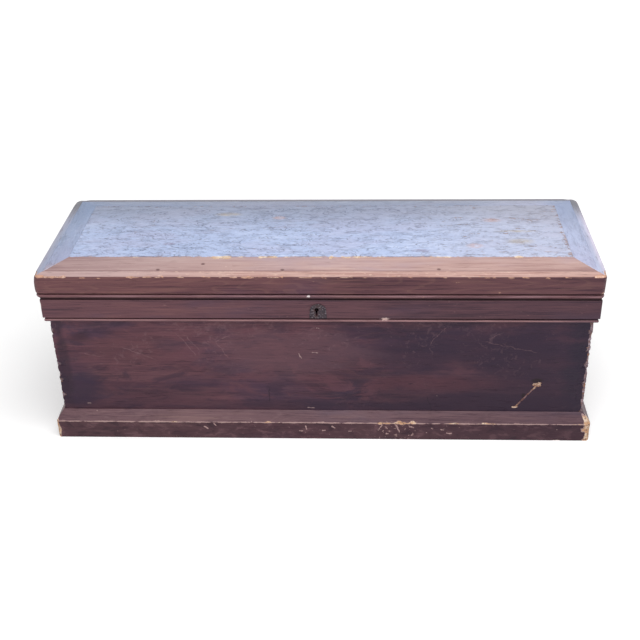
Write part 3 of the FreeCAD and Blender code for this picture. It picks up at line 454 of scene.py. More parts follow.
# Light, usual, dark and purple tones of the old finish.
CASE_TONES = ((110, 70, 78), (83, 50, 61), (44, 26, 40), (67, 49, 72))
RIM_TONES = ((120, 79, 79), (107, 69, 73), (70, 40, 50), (90, 62, 80))
COLLAR_TONES = ((120, 80, 82), (103, 68, 75), (68, 44, 54), (88, 66, 84))
BASE_TONES = ((128, 98, 98), (108, 80, 86), (74, 50, 60), (96, 80, 96))
# The front bevel's pale tones are partly painted top light, as the bevel faces up.
BEVEL_TONES_AND_TOP_LIGHT = ((200, 172, 166), (186, 154, 148), (154, 120, 116), (172, 150, 160))


# --- finishes

def linear(colour):
    """Linear colour, with its alpha, from screen values."""
    shares = [value / 255 for value in colour]
    return *[s / 12.92 if s <= 0.04045 else ((s + 0.055) / 1.055) ** 2.4 for s in shares], 1.0


class Nodes:
    """The node tree of a material or world, built a step at a time."""

    def __init__(self, owner):
        owner.use_nodes = True
        self.tree = owner.node_tree
        self.tree.nodes.clear()

    def add(self, kind, inputs=None, **settings):
        node = self.tree.nodes.new(kind)
        for name, value in settings.items():
            setattr(node, name, value)
        for name, value in (inputs or {}).items():
            self.feed(node.inputs[name], value)
        return node

    def feed(self, socket, value):
        if isinstance(value, bpy.types.NodeSocket):
            self.tree.links.new(value, socket)
        else:
            socket.default_value = linear(value) if socket.type == "RGBA" else value

    def math(self, operation, *values):
        node = self.add("ShaderNodeMath", operation=operation)
        for socket, value in zip(node.inputs, values):
            self.feed(socket, value)
        return node.outputs[0]

    def times(self, first, *others):
        for value in others:
            first = self.math("MULTIPLY", first, value)
        return first

    def background_share(self):
        """1 for the rays that should meet a white background."""
        path = self.add("ShaderNodeLightPath").outputs
        share = path["Is Camera Ray"]
        for name in ("Is Glossy Ray", "Is Transmission Ray"):
            share = self.math("MAXIMUM", share, path[name])
        return share


class Finish(Nodes):
    """A material for one kind of piece. Places are in the frame's metres."""

    def __init__(self, name, run="x"):
        self.material = bpy.data.materials.new(name)
        super().__init__(self.material)
        self.run = run
        self.place = self.add("ShaderNodeTexCoord").outputs["Object"]
        self.x, self.y, self.z = self.add("ShaderNodeSeparateXYZ", {"Vector": self.place}).outputs
        self.off_x = self.math("ABSOLUTE", self.x)
        self.bare = self.add("ShaderNodeAttribute", attribute_name="bare").outputs["Fac"]

    def sum(self, *weighted):
        """Weighted sum of (value, weight) pairs."""
        total = 0.0
        for value, weight in weighted:
            total = self.math("MULTIPLY_ADD", value, weight, total)
        return total

    def step(self, value, low, high, start=0.0, end=1.0):
        """Smooth rise from start to end as the value goes from low to high."""
        return self.add("ShaderNodeMapRange", {
            "Value": value, "From Min": low, "From Max": high, "To Min": start, "To Max": end,
        }, interpolation_type="SMOOTHSTEP").outputs["Result"]

    def noise(self, scale, fine=1, detail=4.0, rough=0.55, shift=0.0, warp=0.0, stretch=None):
        """Noise that is fine times denser across the grain than along it, or stretched by a vector."""
        stretch = stretch or ((1, fine, fine) if self.run == "x" else (fine, 1, fine))
        place = self.add("ShaderNodeVectorMath", {0: self.place, 1: stretch, 2: (shift,) * 3},
                         operation="MULTIPLY_ADD").outputs[0]
        return self.add("ShaderNodeTexNoise", {
            "Vector": place, "Scale": scale, "Detail": detail, "Roughness": rough, "Distortion": warp,
        }).outputs["Fac"]

    def grit(self):
        """Fine noise for the rims of small marks."""
        return self.noise(240, detail=3, rough=0.6, shift=45.0)

    def mix(self, colour, tone, *shares):
        """Mix a tone into a colour by the product of the shares."""
        return self.add("ShaderNodeMix", {0: self.times(*shares), 6: colour, 7: tone},
                        data_type="RGBA").outputs[2]

    def contours(self, scale, fine, count, shift=0.0):
        """Thin lines that follow the height of a noise, like the figure of a flat-sawn board."""
        hills = self.noise(scale, fine, detail=2.5, rough=0.45, shift=shift, warp=0.15)
        share = self.math("FRACT", self.times(hills, float(count)))
        return self.math("SUBTRACT", self.step(share, 0.62, 0.9), self.step(share, 0.9, 1.0))

    def spot(self, across, middle, half, warp=None):
        """1 within an ellipse in the plane of x and a second axis, given by its middle and half sizes; its
        rim is ragged where a warp is given."""
        squares = []
        for value, centre, reach in zip((self.x, across), middle, half):
            share = self.math("DIVIDE", self.math("SUBTRACT", value, centre), reach)
            squares.append(self.times(share, share))
        distance = self.math("SQRT", self.math("ADD", *squares))
        if warp is not None:
            distance = self.sum((warp, 1.6), (distance, 1.0), (1.0, -0.8))
        return self.step(distance, 1.15, 0.45)

    def band(self, value, low, high, soft):
        """1 where the value lies between low and high."""
        rise = self.step(value, low - soft, low + soft)
        return self.math("SUBTRACT", rise, self.step(value, high - soft, high + soft))

    def near_stroke(self, start, end, width, ragged, wander):
        """1 on a stroke in the plane of the front, from one (x, z) to another. Its sides are pushed about by
        a ragged value and its course by a wandering one."""
        length = math.dist(start, end)
        ux, uz = (end[0] - start[0]) / length, (end[1] - start[1]) / length
        along = self.sum((self.x, ux), (self.z, uz), (1.0, -start[0] * ux - start[1] * uz))
        aside = self.math("ABSOLUTE", self.sum((self.x, -uz), (self.z, ux), (wander, 0.012),
                                               (1.0, start[0] * uz - start[1] * ux - 0.006)))
        inside = self.band(along, 0.0, length, length * 0.12)
        aside = self.sum((ragged, width * 3.0), (aside, 1.0), (1.0, width * -1.5))
        return self.times(inside, self.step(aside, width, width * 0.3))

    def surface(self, colour, roughness, height, relief, **uniform):
        """End the tree in a shader. uniform gives sockets that are the same all over the surface."""
        bump = self.add("ShaderNodeBump", {"Height": height, "Distance": relief, "Strength": 1.0})
        shader = self.add("ShaderNodeBsdfPrincipled", {
            "Base Color": colour, "Roughness": roughness, "Normal": bump.outputs[0]})
        for name, value in uniform.items():
            shader.inputs[name.replace("_", " ")].default_value = value
        self.add("ShaderNodeOutputMaterial", {"Surface": shader.outputs[0]})
        return self.material


def raw_wood(mat):
    """Colour of unfinished wood inside the chest."""
    streak = mat.noise(9, 14, detail=5, shift=5.0)
    patch = mat.noise(3, 2, detail=3, shift=9.0)
    lines = mat.contours(2.2, 8, 14, shift=2.0)
    share = mat.sum((streak, 0.9), (patch, 0.6), (lines, 0.22), (1.0, -0.4))
    return mat.mix(RAW_LIGHT, RAW_DARK, mat.step(share, 0.0, 1.0))


def old_finish(name, run, tones, marks, raw=None, bare_tones=(CREAM, ORANGE, TAN), rub_and_highlight_tone=None,
               lines=0.06, mottle=0.0):
    """Worn, darkened finish over wood. tones are its light, usual, dark and purple colours; the rub tone
    shows where it is worn thin along an arris, which also stands as a painted highlight there, and bare_tones
    in the chips. marks adds a piece's own marks, and raw gives the mask of the surfaces that were never
    finished.
    lines is the strength of the wood's figure, and mottle that of its clouds of light and dark."""
    mat = Finish(name, run)
    light, usual, dark, purple = tones
    broad = mat.noise(2.0, 2.2, detail=3, shift=1.0)
    streak = mat.noise(4, 16, detail=6, rough=0.62, shift=3.0)
    thread = mat.noise(9, 40, detail=4, rough=0.65, shift=6.0)
    figure = mat.contours(2.4, 7, 15)
    pores = mat.step(mat.noise(24, 15, detail=3, rough=0.6, shift=8.0), 0.6, 0.7)

    veins = 0.95 - 0.6 * mottle
    tone = mat.sum((streak, 0.85), (broad, 0.95), (thread, veins), (1.0, -0.395 - veins / 2))
    colour = mat.mix(light, usual, mat.step(tone, 0.2, 0.5))
    colour = mat.mix(colour, dark, mat.step(tone, 0.5, 0.8))
    tint = mat.step(mat.noise(2.7, 3, detail=4, rough=0.6, shift=12.0), 0.46, 0.64)
    colour = mat.mix(colour, purple, tint, 0.6)
    colour = mat.mix(colour, rub_and_highlight_tone or BARE_LINE, figure, lines)
    if mottle:
        cloud = mat.noise(9, 2.4, detail=6, rough=0.62, shift=14.0, warp=0.9)
        colour = mat.mix(colour, (104, 64, 73), mat.step(cloud, 0.5, 0.62, 0.0, mottle))
        colour = mat.mix(colour, (56, 36, 54), mat.step(cloud, 0.48, 0.36, 0.0, mottle))
    colour = marks(mat, colour)
    colour = mat.mix(colour, dark, pores, 0.45)

    ragged = mat.noise(190, detail=4, rough=0.65, shift=15.0)
    patchy = mat.noise(45, 3, detail=4, rough=0.62, shift=17.0)
    # Finish worn thin along arrises, which on the base and the rim also stands as a painted highlight.
    if rub_and_highlight_tone:
        rubbed_and_highlit = mat.step(mat.sum((mat.bare, 1.0), (patchy, 1.3), (ragged, 0.5)), 1.16, 1.3)
        colour = mat.mix(colour, rub_and_highlight_tone, rubbed_and_highlit, 0.9)
    bare = mat.step(mat.sum((mat.bare, 1.0), (ragged, 0.5), (patchy, 0.5)), 1.08, 1.18)
    cream, orange, tan = bare_tones
    if marks is front_marks:
        within = mat.step(mat.off_x, HALF_LENGTH - 0.03, HALF_LENGTH - 0.05)
        narrow = mat.times(within, mat.band(mat.z, 0.088, 0.128, 0.004))
        cream = mat.mix(cream, (210, 180, 160), within)
        orange = mat.mix(orange, (142, 106, 88), within)
        cream = mat.mix(cream, (140, 110, 112), narrow)
        orange = mat.mix(orange, (104, 72, 70), narrow)
    wood = mat.mix(cream, orange, mat.step(patchy, 0.42, 0.54))
    wood = mat.mix(wood, tan, mat.step(ragged, 0.52, 0.62))
    wood = mat.mix(wood, dark, mat.step(ragged, 0.36, 0.3))
    colour = mat.mix(colour, wood, bare)
    if raw:
        unfinished = raw(mat)
        colour = mat.mix(colour, raw_wood(mat), unfinished)
        bare = mat.math("MAXIMUM", bare, unfinished)
    roughness = mat.sum((streak, 0.18), (bare, 0.25), (pores, 0.1), (1.0, 0.34))
    height = mat.sum((thread, 0.6), (streak, 0.4), (pores, -0.5), (ragged, 0.15), (figure, 0.12))
    return mat.surface(colour, roughness, height, 0.0007, Specular_IOR_Level=0.22)


def from_inside(mat):
    """Distance out from the inner faces of the boards, and a mask of those faces."""
    out_y = mat.math("SUBTRACT", mat.math("ABSOLUTE", mat.y), HALF_DEPTH - BOARD)
    out = mat.math("MAXIMUM", mat.math("SUBTRACT", mat.off_x, HALF_LENGTH - BOARD), out_y)
    return out, mat.step(out, 0.0012, 0.0006)


def inside_case(mat):
    """Inner faces and top edges of the case boards."""
    _, inner = from_inside(mat)
    return mat.math("MAXIMUM", inner, mat.step(mat.z, WALL_TOP - 0.0006, WALL_TOP - 0.0002))


def inside_rim(mat):
    """Underside and inner faces of the lid's rim."""
    out, inner = from_inside(mat)
    under = mat.times(mat.step(out, BOARD + 0.0005, BOARD - 0.0005),
                      mat.step(mat.z, LID_LOW + 0.0008, LID_LOW + 0.0003))
    return mat.math("MAXIMUM", inner, under)


def under_top(mat, low=BOARD_LOW):
    """Underside of the frame boards or the panel."""
    return mat.step(mat.z, low + 0.0012, low + 0.0006)


def shade_towards_right(mat, colour, amount):
    """Painted shade: darken a finish towards the right end, and a little in the middle, as the light falls
    off across the front.
    """
    side = mat.sum((mat.step(mat.x, -0.6, 0.05), 0.35), (mat.step(mat.x, 0.0, 0.6), 0.65))
    return mat.mix(colour, (46, 31, 48), side, amount)


def grime_and_shadow_band(mat, colour, low, high):
    """A dark band that runs round the chest between two heights, used both for grime in a groove and for
    painted shadow under the lid.
    """
    return mat.mix(colour, GRIME_AND_SHADOW, mat.band(mat.z, low, high, 0.0004), 0.8)


def rim_marks(mat, colour):
    """The bead is lightened, partly worn by rubbing and partly a painted highlight, between a grimy groove
    above and painted shadow below where the lid meets the case. The lip's top is pale, pinkish at the front
    and grey at the ends, partly worn by rubbing and partly painted top light, and the face is painted with
    shade towards the right."""
    colour = shade_towards_right(mat, colour, 0.22)
    colour = grime_and_shadow_band(mat, colour, RIM_BEAD_TOP, RIM_FACE_LOW)
    # Painted shadow on the bead's underside, over the gap between lid and case.
    colour = grime_and_shadow_band(mat, colour, 0.0, LID_LOW + 0.0046)
    # The bead's crown lightened: partly worn by rubbing, partly a painted highlight.
    bead = mat.band(mat.z, LID_LOW + 0.0066, RIM_BEAD_TOP - 0.0014, 0.001)
    streak = mat.noise(8, 26, detail=4, shift=21.0)
    colour = mat.mix(colour, (142, 108, 114), bead, mat.step(streak, 0.38, 0.6, 0.2, 0.85))
    nick = mat.spot(mat.z, (RIM_NICK, LID_LOW + 0.0085), (0.004, 0.0026), mat.grit())
    at_front = mat.step(mat.y, 0.0, -0.1)
    colour = mat.mix(colour, (232, 220, 220), nick, at_front)

    # The lip's top painted pale: partly worn by rubbing, partly painted top light.
    top = mat.step(mat.z, RIM_ARRIS + 0.0006, RIM_ARRIS + 0.0026)
    rubbed_and_highlit = mat.mix((202, 167, 158), (178, 138, 130), mat.step(streak, 0.36, 0.62))
    left = mat.step(mat.x, -0.1, -0.5)
    rubbed_and_highlit = mat.mix(rubbed_and_highlit, (182, 160, 164), left, 0.5)
    flecks = mat.step(mat.noise(75, 2, detail=4, rough=0.62, shift=51.0), 0.57, 0.66, 0, 0.6)
    rubbed_and_highlit = mat.mix(rubbed_and_highlit, (222, 190, 174), flecks, mat.band(mat.x, -0.42, 0.46, 0.06))
    if mat.run == "x":
        rubbed_and_highlit = mat.mix(rubbed_and_highlit, (128, 126, 136), mat.step(mat.y, 0.0, 0.1))
        return mat.mix(colour, rubbed_and_highlit, top)
    outer = mat.step(mat.off_x, HALF_LENGTH, HALF_LENGTH + RIM_OUT - 0.002)
    grey = mat.mix((158, 166, 190), (166, 166, 182), outer)
    right = mat.mix((186, 192, 218), (214, 208, 226), outer)
    grey = mat.mix(grey, right, mat.step(mat.x, -0.2, 0.3))
    patch = mat.step(mat.noise(30, 3, detail=3, shift=23.0), 0.4, 0.6)
    grey = mat.mix(grey, (150, 146, 170), patch, 0.25)
    grey = mat.mix(grey, (122, 122, 130), mat.step(mat.y, 0.06, 0.17))
    return mat.mix(colour, grey, top)


def collar_marks(mat, colour):
    """The collar is painted with shade towards the right and with shadow along its top under the lid; its
    bead is lightened under a grimy groove, partly worn by rubbing and partly a painted highlight.
    """
    colour = shade_towards_right(mat, colour, 0.45)
    colour = grime_and_shadow_band(mat, colour, COLLAR_LOW + 0.0082, COLLAR_LOW + 0.0118)
    # Painted shadow along the collar's top, under the lid.
    colour = grime_and_shadow_band(mat, colour, COLLAR_TOP - 0.0012, 1.0)
    # The bead's crown lightened: partly worn by rubbing, partly a painted highlight.
    crown = mat.band(mat.z, COLLAR_LOW + 0.003, COLLAR_LOW + 0.007, 0.0008)
    streak = mat.noise(8, 26, detail=4, shift=21.0)
    colour = mat.mix(colour, (164, 124, 126), crown, mat.step(streak, 0.35, 0.58, 0.35, 0.95))
    nick = mat.spot(mat.z, (COLLAR_NICK, COLLAR_LOW + 0.01), (0.0105, 0.0046), mat.grit())
    return mat.mix(colour, (240, 214, 208), nick)


def bevel_marks(mat, colour):
    """Nail holes and pale flecks in the front bevel, darker to the left and along the lip."""
    left = mat.step(mat.x, 0.1, -0.5)
    colour = mat.mix(colour, (150, 130, 136), left, 0.4)
    flecks = mat.step(mat.noise(150, 2, detail=3, shift=39.0), 0.7, 0.74)
    colour = mat.mix(colour, (226, 196, 184), flecks, 0.6)
    lip = mat.step(mat.y, -HALF_DEPTH + LIP_INNER + 0.0045, -HALF_DEPTH + LIP_INNER + 0.0025)
    colour = mat.mix(colour, (112, 78, 80), lip, 0.4)
    holes = 0.0
    for place in NAIL_HOLES:
        holes = mat.math("MAXIMUM", holes, mat.spot(mat.y, place, (0.0052, 0.004)))
    return mat.mix(colour, (84, 54, 56), holes, 0.75)


def base_marks(mat, colour):
    """The base is painted with shade towards the right, more on its front face; that face is nicked and
    flecked under the arris.
    """
    colour = shade_towards_right(mat, colour, 0.34)
    face = mat.step(mat.z, BASE_ARRIS + 0.001, BASE_ARRIS - 0.002)
    colour = mat.mix(colour, (62, 32, 42), face, 0.74)
    cloud = mat.noise(22, 2, detail=5, rough=0.65, shift=61.0, warp=0.6)
    clear = mat.sum((face, 0.75), (1.0, 0.25))
    colour = mat.mix(colour, (124, 90, 96), mat.step(cloud, 0.52, 0.64, 0.0, 0.4), clear)
    colour = mat.mix(colour, (44, 24, 36), mat.step(cloud, 0.48, 0.36, 0.0, 0.6), clear)
    # Painted shade: the front face darker still towards the right.
    colour = mat.mix(colour, (46, 26, 42), face, mat.step(mat.x, 0.15, 0.6, 0.0, 0.35))
    at_front = mat.step(mat.y, -HALF_DEPTH - BASE_OUT + 0.003, -HALF_DEPTH - BASE_OUT + 0.001)
    dense = mat.band(mat.x, 0.13, 0.22, 0.02)
    worn = mat.band(mat.x, -0.1, 0.33, 0.08)
    flecks = mat.sum((mat.noise(130, 1.4, detail=4, rough=0.6, shift=25.0), 1.0),
                     (worn, 0.03), (dense, 0.07))
    colour = mat.mix(colour, (188, 156, 150), mat.step(flecks, 0.69, 0.73), at_front, 0.8)
    return strokes(mat, colour, BASE_NICKS, 0.002, (196, 162, 158), 0.8, at_front)


def strokes(mat, colour, places, width, tone, strength, where):
    """Short strokes of another colour, where a mask allows."""
    marks = 0.0
    ragged = mat.grit()
    wander = mat.noise(48, detail=2, rough=0.6, shift=49.0)
    for start, end in places:
        marks = mat.math("MAXIMUM", marks, mat.near_stroke(start, end, width, ragged, wander))
    return mat.mix(colour, tone, marks, where, strength)


def front_marks(mat, colour):
    """Stains, scratches, nicks and cracks of the chest's front, with painted shade towards the bottom and the
    right and painted shadow round the gouge.
    """
    at_front = mat.step(mat.y, -HALF_DEPTH + 0.005, -HALF_DEPTH + 0.004)
    warp = mat.noise(9, stretch=(1, 1, 2.2), detail=5, rough=0.6, shift=27.0)
    for middle, half, tone, strength in STAINS:
        colour = mat.mix(colour, tone, mat.spot(mat.z, middle, half, warp), at_front, strength)
    colour = strokes(mat, colour, SCRATCHES, 0.0011, (146, 112, 116), 0.35, at_front)
    colour = strokes(mat, colour, NICKS, 0.0016, (190, 160, 156), 0.75, at_front)
    colour = strokes(mat, colour, CRACKS, 0.0014, (26, 16, 24), 0.8, at_front)
    # Painted shade: the front board darker towards the bottom, less so across the middle.
    aside = mat.step(mat.band(mat.x, -0.24, 0.12, 0.1), 0.0, 1.0, 0.46, 0.12)
    colour = mat.mix(colour, (48, 30, 46), mat.step(mat.z, 0.24, 0.09), aside)
    # Painted shadow, near black, round the gouge's head and beside its stroke.
    for middle, half in GOUGE_SHADOWS:
        colour = mat.mix(colour, (30, 14, 14), mat.spot(mat.z, middle, half, warp), at_front)
    scuffs = mat.sum((mat.noise(75, detail=5, rough=0.7, shift=57.0, warp=0.8), 1.0),
                     (mat.noise(9, detail=3, shift=59.0), 0.55))
    high = mat.times(at_front, mat.step(mat.z, 0.14, 0.22, 0.05, 0.2))
    colour = mat.mix(colour, (138, 106, 112), mat.step(scuffs, 0.86, 0.96), high)
    return shade_towards_right(mat, colour, 0.36)


def blue_finish(name, run, field):
    """Worn blue-grey colour over brown, crackled and streaked along the grain. field is true for the panel.
    """
    mat = Finish(name, run)
    streak = mat.noise(6, 24, detail=6, rough=0.68, shift=31.0)
    dash = mat.noise(85, 3.2, detail=5, rough=0.7, shift=33.0)
    broad = mat.noise(2.6, 1.6, detail=4, shift=35.0)
    cracks = mat.contours(14, 3.6, 16, shift=36.0)
    light, usual, grey = (204, 216, 246), (180, 195, 230), (136, 148, 182)
    if not field:
        light, usual, grey = (184, 198, 228), (160, 176, 210), (146, 156, 190)
    tone = mat.sum((streak, 0.7), (dash, 1.3), (broad, 0.5), (1.0, -0.77))
    colour = mat.mix(light, usual, mat.step(tone, 0.22, 0.46))
    colour = mat.mix(colour, grey, mat.step(tone, 0.54, 0.76))
    lilac = mat.step(mat.noise(5, 2.5, detail=4, rough=0.6, shift=41.0), 0.48, 0.62)
    colour = mat.mix(colour, (190, 184, 212), lilac, 0.25)
    back = mat.step(mat.sum((mat.y, 1.0), (broad, 0.1)), 0.03, 0.19)
    colour = mat.mix(colour, (130, 134, 152), back, 0.6)
    if not field:
        left = mat.step(mat.x, -0.2, -0.4)
        # A painted highlight along the front mitres between the end bevels and the front bevel.
        mitre = mat.sum((mat.off_x, 1.0), (mat.y, 1.0), (1.0, HALF_DEPTH - HALF_LENGTH))
        edge = mat.step(mat.math("ABSOLUTE", mitre), 0.0045, 0.0015)
        colour = mat.mix(colour, (176, 168, 198), mat.step(mat.y, -0.02, -0.18), 0.5)
        colour = mat.mix(colour, (132, 146, 178), left, 0.35)
        colour = mat.mix(colour, (178, 160, 170), left, mat.step(mat.y, -0.135, -0.176, 0.0, 0.7))
        colour = mat.mix(colour, (208, 208, 234), mat.step(mat.x, 0.3, 0.5), 0.35)
        colour = mat.mix(colour, (128, 150, 188), back, mat.step(mat.off_x, 0.5, 0.56), 0.5)
        # Painted highlight on the front mitres.
        colour = mat.mix(colour, (214, 218, 238), edge, mat.step(mat.y, 0.0, -0.05), 0.6)

    patchy = mat.noise(30, 2, detail=5, rough=0.65, shift=37.0)
    marks = mat.times(cracks, mat.step(patchy, 0.44, 0.56))
    colour = mat.mix(colour, (84, 90, 122), marks, 0.75 if field else 0.12)
    if field:
        colour = mat.mix(colour, (206, 200, 210), mat.step(mat.x, 0.1, 0.5), 0.35)
        share = mat.step(dash, 0.42, 0.56, 0.15, 0.75)
        for middle, half, tone in FIELD_STAINS:
            colour = mat.mix(colour, tone, mat.spot(mat.y, middle, half, dash), share)
        brown = mat.mix((186, 146, 122), (112, 96, 108), mat.step(dash, 0.4, 0.6))
        gritty = mat.noise(130, detail=4, rough=0.65, shift=43.0)
        side = mat.sum((mat.off_x, 12.0), (gritty, 1.0), (patchy, 0.5), (mat.x, 0.12),
                       (1.0, -12.0 * FIELD_X))
        rear = mat.sum((mat.y, 14.0), (gritty, 1.0), (patchy, 0.5), (1.0, -14.0 * FIELD_BACK))
        front = mat.sum((mat.y, -55.0), (patchy, 1.1), (gritty, 0.5), (1.0, 55.0 * FIELD_FRONT))
        spread = mat.sum((streak, 0.55), (gritty, 0.25), (patchy, 0.3),
                         (mat.step(mat.x, 0.1, 0.45), 0.045))
        worn = mat.step(mat.math("MAXIMUM", side, rear), 0.78, 0.84)
        worn = mat.math("MAXIMUM", worn, mat.step(front, 0.66, 0.76))
        worn = mat.math("MAXIMUM", worn, mat.step(spread, 0.655, 0.7))
        colour = mat.mix(colour, brown, worn, 0.7)
    else:
        worn = 0.0
    bare = mat.step(mat.sum((mat.bare, 1.0), (patchy, 0.5)), 0.7, 0.95)
    chips = mat.mix((234, 216, 194), (204, 172, 148), mat.step(dash, 0.44, 0.58))
    colour = mat.mix(colour, chips, bare)
    raw = under_top(mat, PANEL_LOW if field else BOARD_LOW)
    colour = mat.mix(colour, raw_wood(mat), raw)
    roughness = mat.sum((streak, 0.2), (worn, 0.12), (raw, 0.2), (1.0, 0.32))
    height = mat.sum((streak, 0.4), (dash, 1.0), (marks, -0.6), (worn, -0.3))
    return mat.surface(colour, roughness, height, 0.0014, Specular_IOR_Level=0.35)


def bottom_finish():
    mat = Finish("bottom_wood")
    return mat.surface(raw_wood(mat), 0.75, mat.noise(7, 18, detail=4), 0.0006)


def iron_finish():
    """Dull wrought iron, pitted, with rust in patches."""
    mat = Finish("iron")
    patch = mat.noise(70, detail=5, rough=0.6)
    pits = mat.noise(260, detail=4, rough=0.6, shift=4.0)
    colour = mat.mix((54, 44, 52), (74, 54, 54), mat.step(patch, 0.46, 0.7))
    colour = mat.mix(colour, (124, 114, 120), mat.step(pits, 0.55, 0.64))
    colour = mat.mix(colour, (26, 20, 26), mat.step(pits, 0.44, 0.36))
    roughness = mat.sum((patch, 0.35), (pits, 0.15), (1.0, 0.34))
    height = mat.sum((patch, 0.6), (pits, 0.5))
    return mat.surface(colour, roughness, height, 0.0005, Metallic=0.35)


# --- the pieces

def make_case():
    finishes = {run: old_finish(name, run, CASE_TONES, front_marks, inside_case, (LILAC, GREY_WOOD, TAN),
                                lines=0.12, mottle=0.65)
                for name, run in (("case_long", "x"), ("case_end", "y"))}
    rows = spaced(WALL_LOW, WALL_TOP, 0.0025)

    def corner_cuts(axis, half):
        """Fine cuts near both ends of a board that runs along an axis."""
        cuts = [(axis, (-half + CORNER_REACH, half - CORNER_REACH))]
        for end in (-1, 1):
            near = (axis, *sorted((end * half, end * (half - CORNER_REACH))))
            cuts.append((2, rows, near))
            cuts.append((axis, [end * (half - step) for step in spaced(0, CORNER_REACH, 0.0015)], near))
        return cuts

    span_x, span_z = GOUGE_SPAN
    around_gouge = (0, *span_x), (2, *span_z), (1, -1, SKIN - HALF_DEPTH)
    gouge = ((0, span_x), (2, span_z), (2, spaced(*span_z, 0.0014), *around_gouge),
             (0, spaced(*span_x, 0.0014), *around_gouge))
    worn_piece("front_board", "case", finishes["x"],
               (*corner_cuts(0, HALF_LENGTH), *gouge), wear_case)
    worn_piece("back_board", "case", finishes["x"], corner_cuts(0, HALF_LENGTH), wear_case)
    for node in ("left_end_board", "right_end_board"):
        worn_piece(node, "case", finishes["y"], corner_cuts(1, HALF_DEPTH), wear_case)


def side_cuts(name, out, heights, outs=()):
    """Cuts of a moulding on one side: along its run, and at heights and distances out near its arrises."""
    run, across, facing = SIDES[name]
    half = HALF[run] + out
    return [(2, heights), (across, [facing * (HALF[across] + o) for o in outs]),
            (run, spaced(-half, half, 0.024, fine=0.001, margin=0.014))]


def make_mouldings():
    tan = ((222, 198, 176), (200, 156, 122), (130, 104, 92))
    base = {run: old_finish("base_" + run, run, BASE_TONES, base_marks, None, tan,
                            rub_and_highlight_tone=(176, 146, 142)) for run in "xy"}
    collar = {run: old_finish("collar_" + run, run, COLLAR_TONES, collar_marks,
                              rub_and_highlight_tone=(140, 104, 104)) for run in "xy"}
    rose = ((232, 202, 186), (210, 170, 150), (166, 124, 110))
    rim = {run: old_finish("rim_" + run, run, RIM_TONES, rim_marks, inside_rim, rose,
                           rub_and_highlight_tone=(206, 158, 132)) for run in "xy"}
    base_rows = [0.001, 0.0025, 0.005, 0.009, 0.015, 0.022, 0.03, 0.037]
    base_rows += [BASE_ARRIS + step for step in (-0.005, -0.003, -0.0015, 0.0015, 0.003, 0.006, 0.012)]
    for name, (run, _, _) in SIDES.items():
        axis = "xy"[run]
        worn_piece("base_moulding_" + name, "case", base[axis],
                   side_cuts(name, BASE_OUT, base_rows), wear_base, softness=0.0012, run=run)
        if name != "back":
            rows = [COLLAR_ARRIS + step for step in (-0.03, -0.012, -0.005, -0.0025, -0.001)]
            worn_piece("collar_" + name, "case", collar[axis],
                       side_cuts(name, COLLAR_OUT, rows), wear_collar, softness=0.0004, run=run)
        rows = [RIM_ARRIS + step for step in (-0.036, -0.028, -0.018, -0.01, -0.005, -0.0025, -0.001)]
        outs = [RIM_OUT - step for step in (0.004, 0.006, 0.009, 0.013)]
        worn_piece("lid_rim_" + name, "lid", rim[axis],
                   side_cuts(name, RIM_OUT, rows, outs), wear_rim, softness=0.0004, run=run)


# Distances from the joint of bevel and panel at which their tops are divided.
FIELD_ROWS = (0.0015, 0.003, 0.005, 0.008, 0.011)


def make_lid_top():
    blue = {run: blue_finish("blue_" + run, run, False) for run in "xy"}
    chips = ((236, 214, 186), (214, 178, 146), (176, 140, 118))
    brown = old_finish("front_bevel", "x", BEVEL_TONES_AND_TOP_LIGHT, bevel_marks, under_top, chips)
    for name, (run, _, _) in SIDES.items():
        material = brown if name == "front" else blue["xy"[run]]
        cuts = side_cuts(name, 0.0, [])
        if name == "front":
            cuts.insert(0, (1, [FIELD_FRONT - step for step in FIELD_ROWS]))
        worn_piece("lid_frame_" + name, "lid", material, cuts, wear_lid_top,
                   softness=0.0006, run=run)
    rows = [FIELD_FRONT + step for step in FIELD_ROWS]
    near = (1, FIELD_FRONT, rows[-1])
    worn_piece("lid_panel", "lid", blue_finish("blue_field", "x", True),
               ((1, rows), (0, spaced(-FIELD_X, FIELD_X, 0.0025), near)), wear_lid_top,
               softness=0.0006)


def refinish(names, material):
    """Give CAD nodes that keep their shape a finish of their own."""
    for name in names:
        node = frame["nodes"][name]
        node.data.materials.clear()
        node.data.materials.append(material)


def refinish_plain_nodes():
    refinish(["bottom_board_front", "bottom_board_back"], bottom_finish())
    refinish([row["node"] for row in frame["record"]["subparts"] if row["material_slot"] == "iron"],
             iron_finish())


# --- floor, light and camera

CAMERA_PLACE = (0.10623, -2.13295, 1.46644)
CAMERA_YAW, CAMERA_PITCH, CAMERA_ROLL = 3.0203, 30.6748, -1.3858
CAMERA_FOCUS = 1039.12   # focal length in pixels of the 640-pixel image
IMAGE_WIDTH = 640
SENSOR = 36.0
LAMP_TARGET = Vector((0, 0, 0.2))


def make_camera():
    data = bpy.data.cameras.new("camera")
    data.sensor_width = SENSOR
    data.lens = CAMERA_FOCUS / IMAGE_WIDTH * SENSOR
    camera = new_object("camera", data)
    turn = Matrix.Rotation(math.radians(CAMERA_YAW), 4, "Z")
    turn @= Matrix.Rotation(math.radians(90 - CAMERA_PITCH), 4, "X")
    turn @= Matrix.Rotation(math.radians(CAMERA_ROLL), 4, "Z")
    camera.matrix_world = Matrix.Translation(CAMERA_PLACE) @ turn
    bpy.context.scene.camera = camera


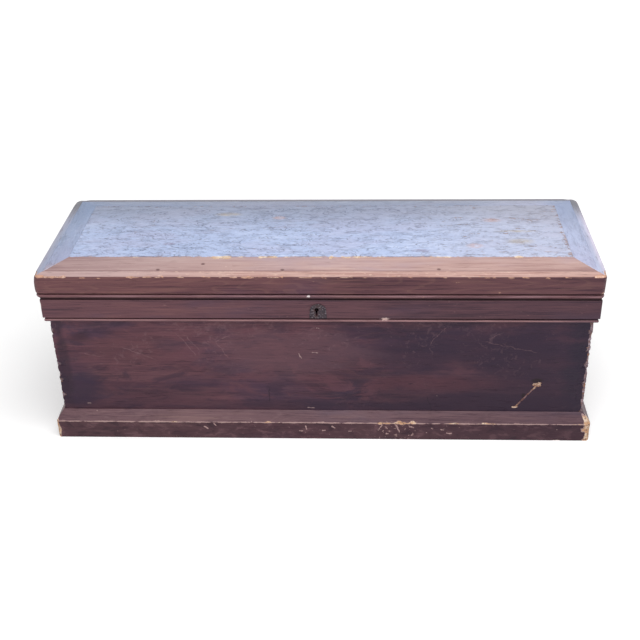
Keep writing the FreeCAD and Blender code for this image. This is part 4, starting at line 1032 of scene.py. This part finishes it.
def make_lamp(name, place, size, power):
    """Rectangular lamp that points at the middle of the chest."""
    data = bpy.data.lights.new(name, "AREA")
    data.shape = "RECTANGLE"
    data.size, data.size_y = size
    data.energy = power
    lamp = new_object(name, data)
    lamp.location = place
    lamp.rotation_euler = (LAMP_TARGET - Vector(place)).to_track_quat("-Z", "Y").to_euler()


def make_world(ambient):
    world = bpy.data.worlds.new("studio")
    nodes = Nodes(world)
    light, white = (nodes.add("ShaderNodeBackground", {"Color": (255, 255, 255), "Strength": strength})
                    for strength in (ambient, 1.0))
    blend = nodes.add("ShaderNodeMixShader", {
        0: nodes.background_share(), 1: light.outputs[0], 2: white.outputs[0]})
    nodes.add("ShaderNodeOutputWorld", {"Surface": blend.outputs[0]})
    bpy.context.scene.world = world


def make_floor(size, lift):
    """Pale floor that shows white to the camera and keeps the shadow of the chest."""
    mat = Finish("floor")
    tone = mat.step(mat.noise(1.5, detail=3), 0.3, 0.7, 0.86, 0.9)
    diffuse = mat.add("ShaderNodeBsdfDiffuse", {"Color": tone})
    away = mat.add("ShaderNodeVectorMath", {0: mat.place}, operation="LENGTH").outputs["Value"]
    lit = mat.times(mat.background_share(), mat.step(away, 0.7, 2.6, *lift))
    glow = mat.add("ShaderNodeEmission", {"Strength": lit})
    both = mat.add("ShaderNodeAddShader", {0: diffuse.outputs[0], 1: glow.outputs[0]})
    mat.add("ShaderNodeOutputMaterial", {"Surface": both.outputs[0]})
    corners = [(x * size / 2, y * size / 2, 0) for x, y in ((-1, -1), (1, -1), (1, 1), (-1, 1))]
    mesh = bpy.data.meshes.new("floor")
    mesh.from_pydata(corners, [], [(0, 1, 2, 3)])
    mesh.materials.append(mat.material)
    floor = new_object("floor", mesh)


make_case()
make_mouldings()
make_lid_top()
refinish_plain_nodes()
make_floor(size=30.0, lift=(0.32, 0.8))
make_world(ambient=0.42)
make_lamp("key", (0.5, -1.0, 2.9), size=(2.6, 2.0), power=64)
make_lamp("front", (-0.8, -3.4, 1.5), size=(2.4, 1.6), power=18)
make_camera()
bpy.context.scene.view_settings.view_transform = "Standard"
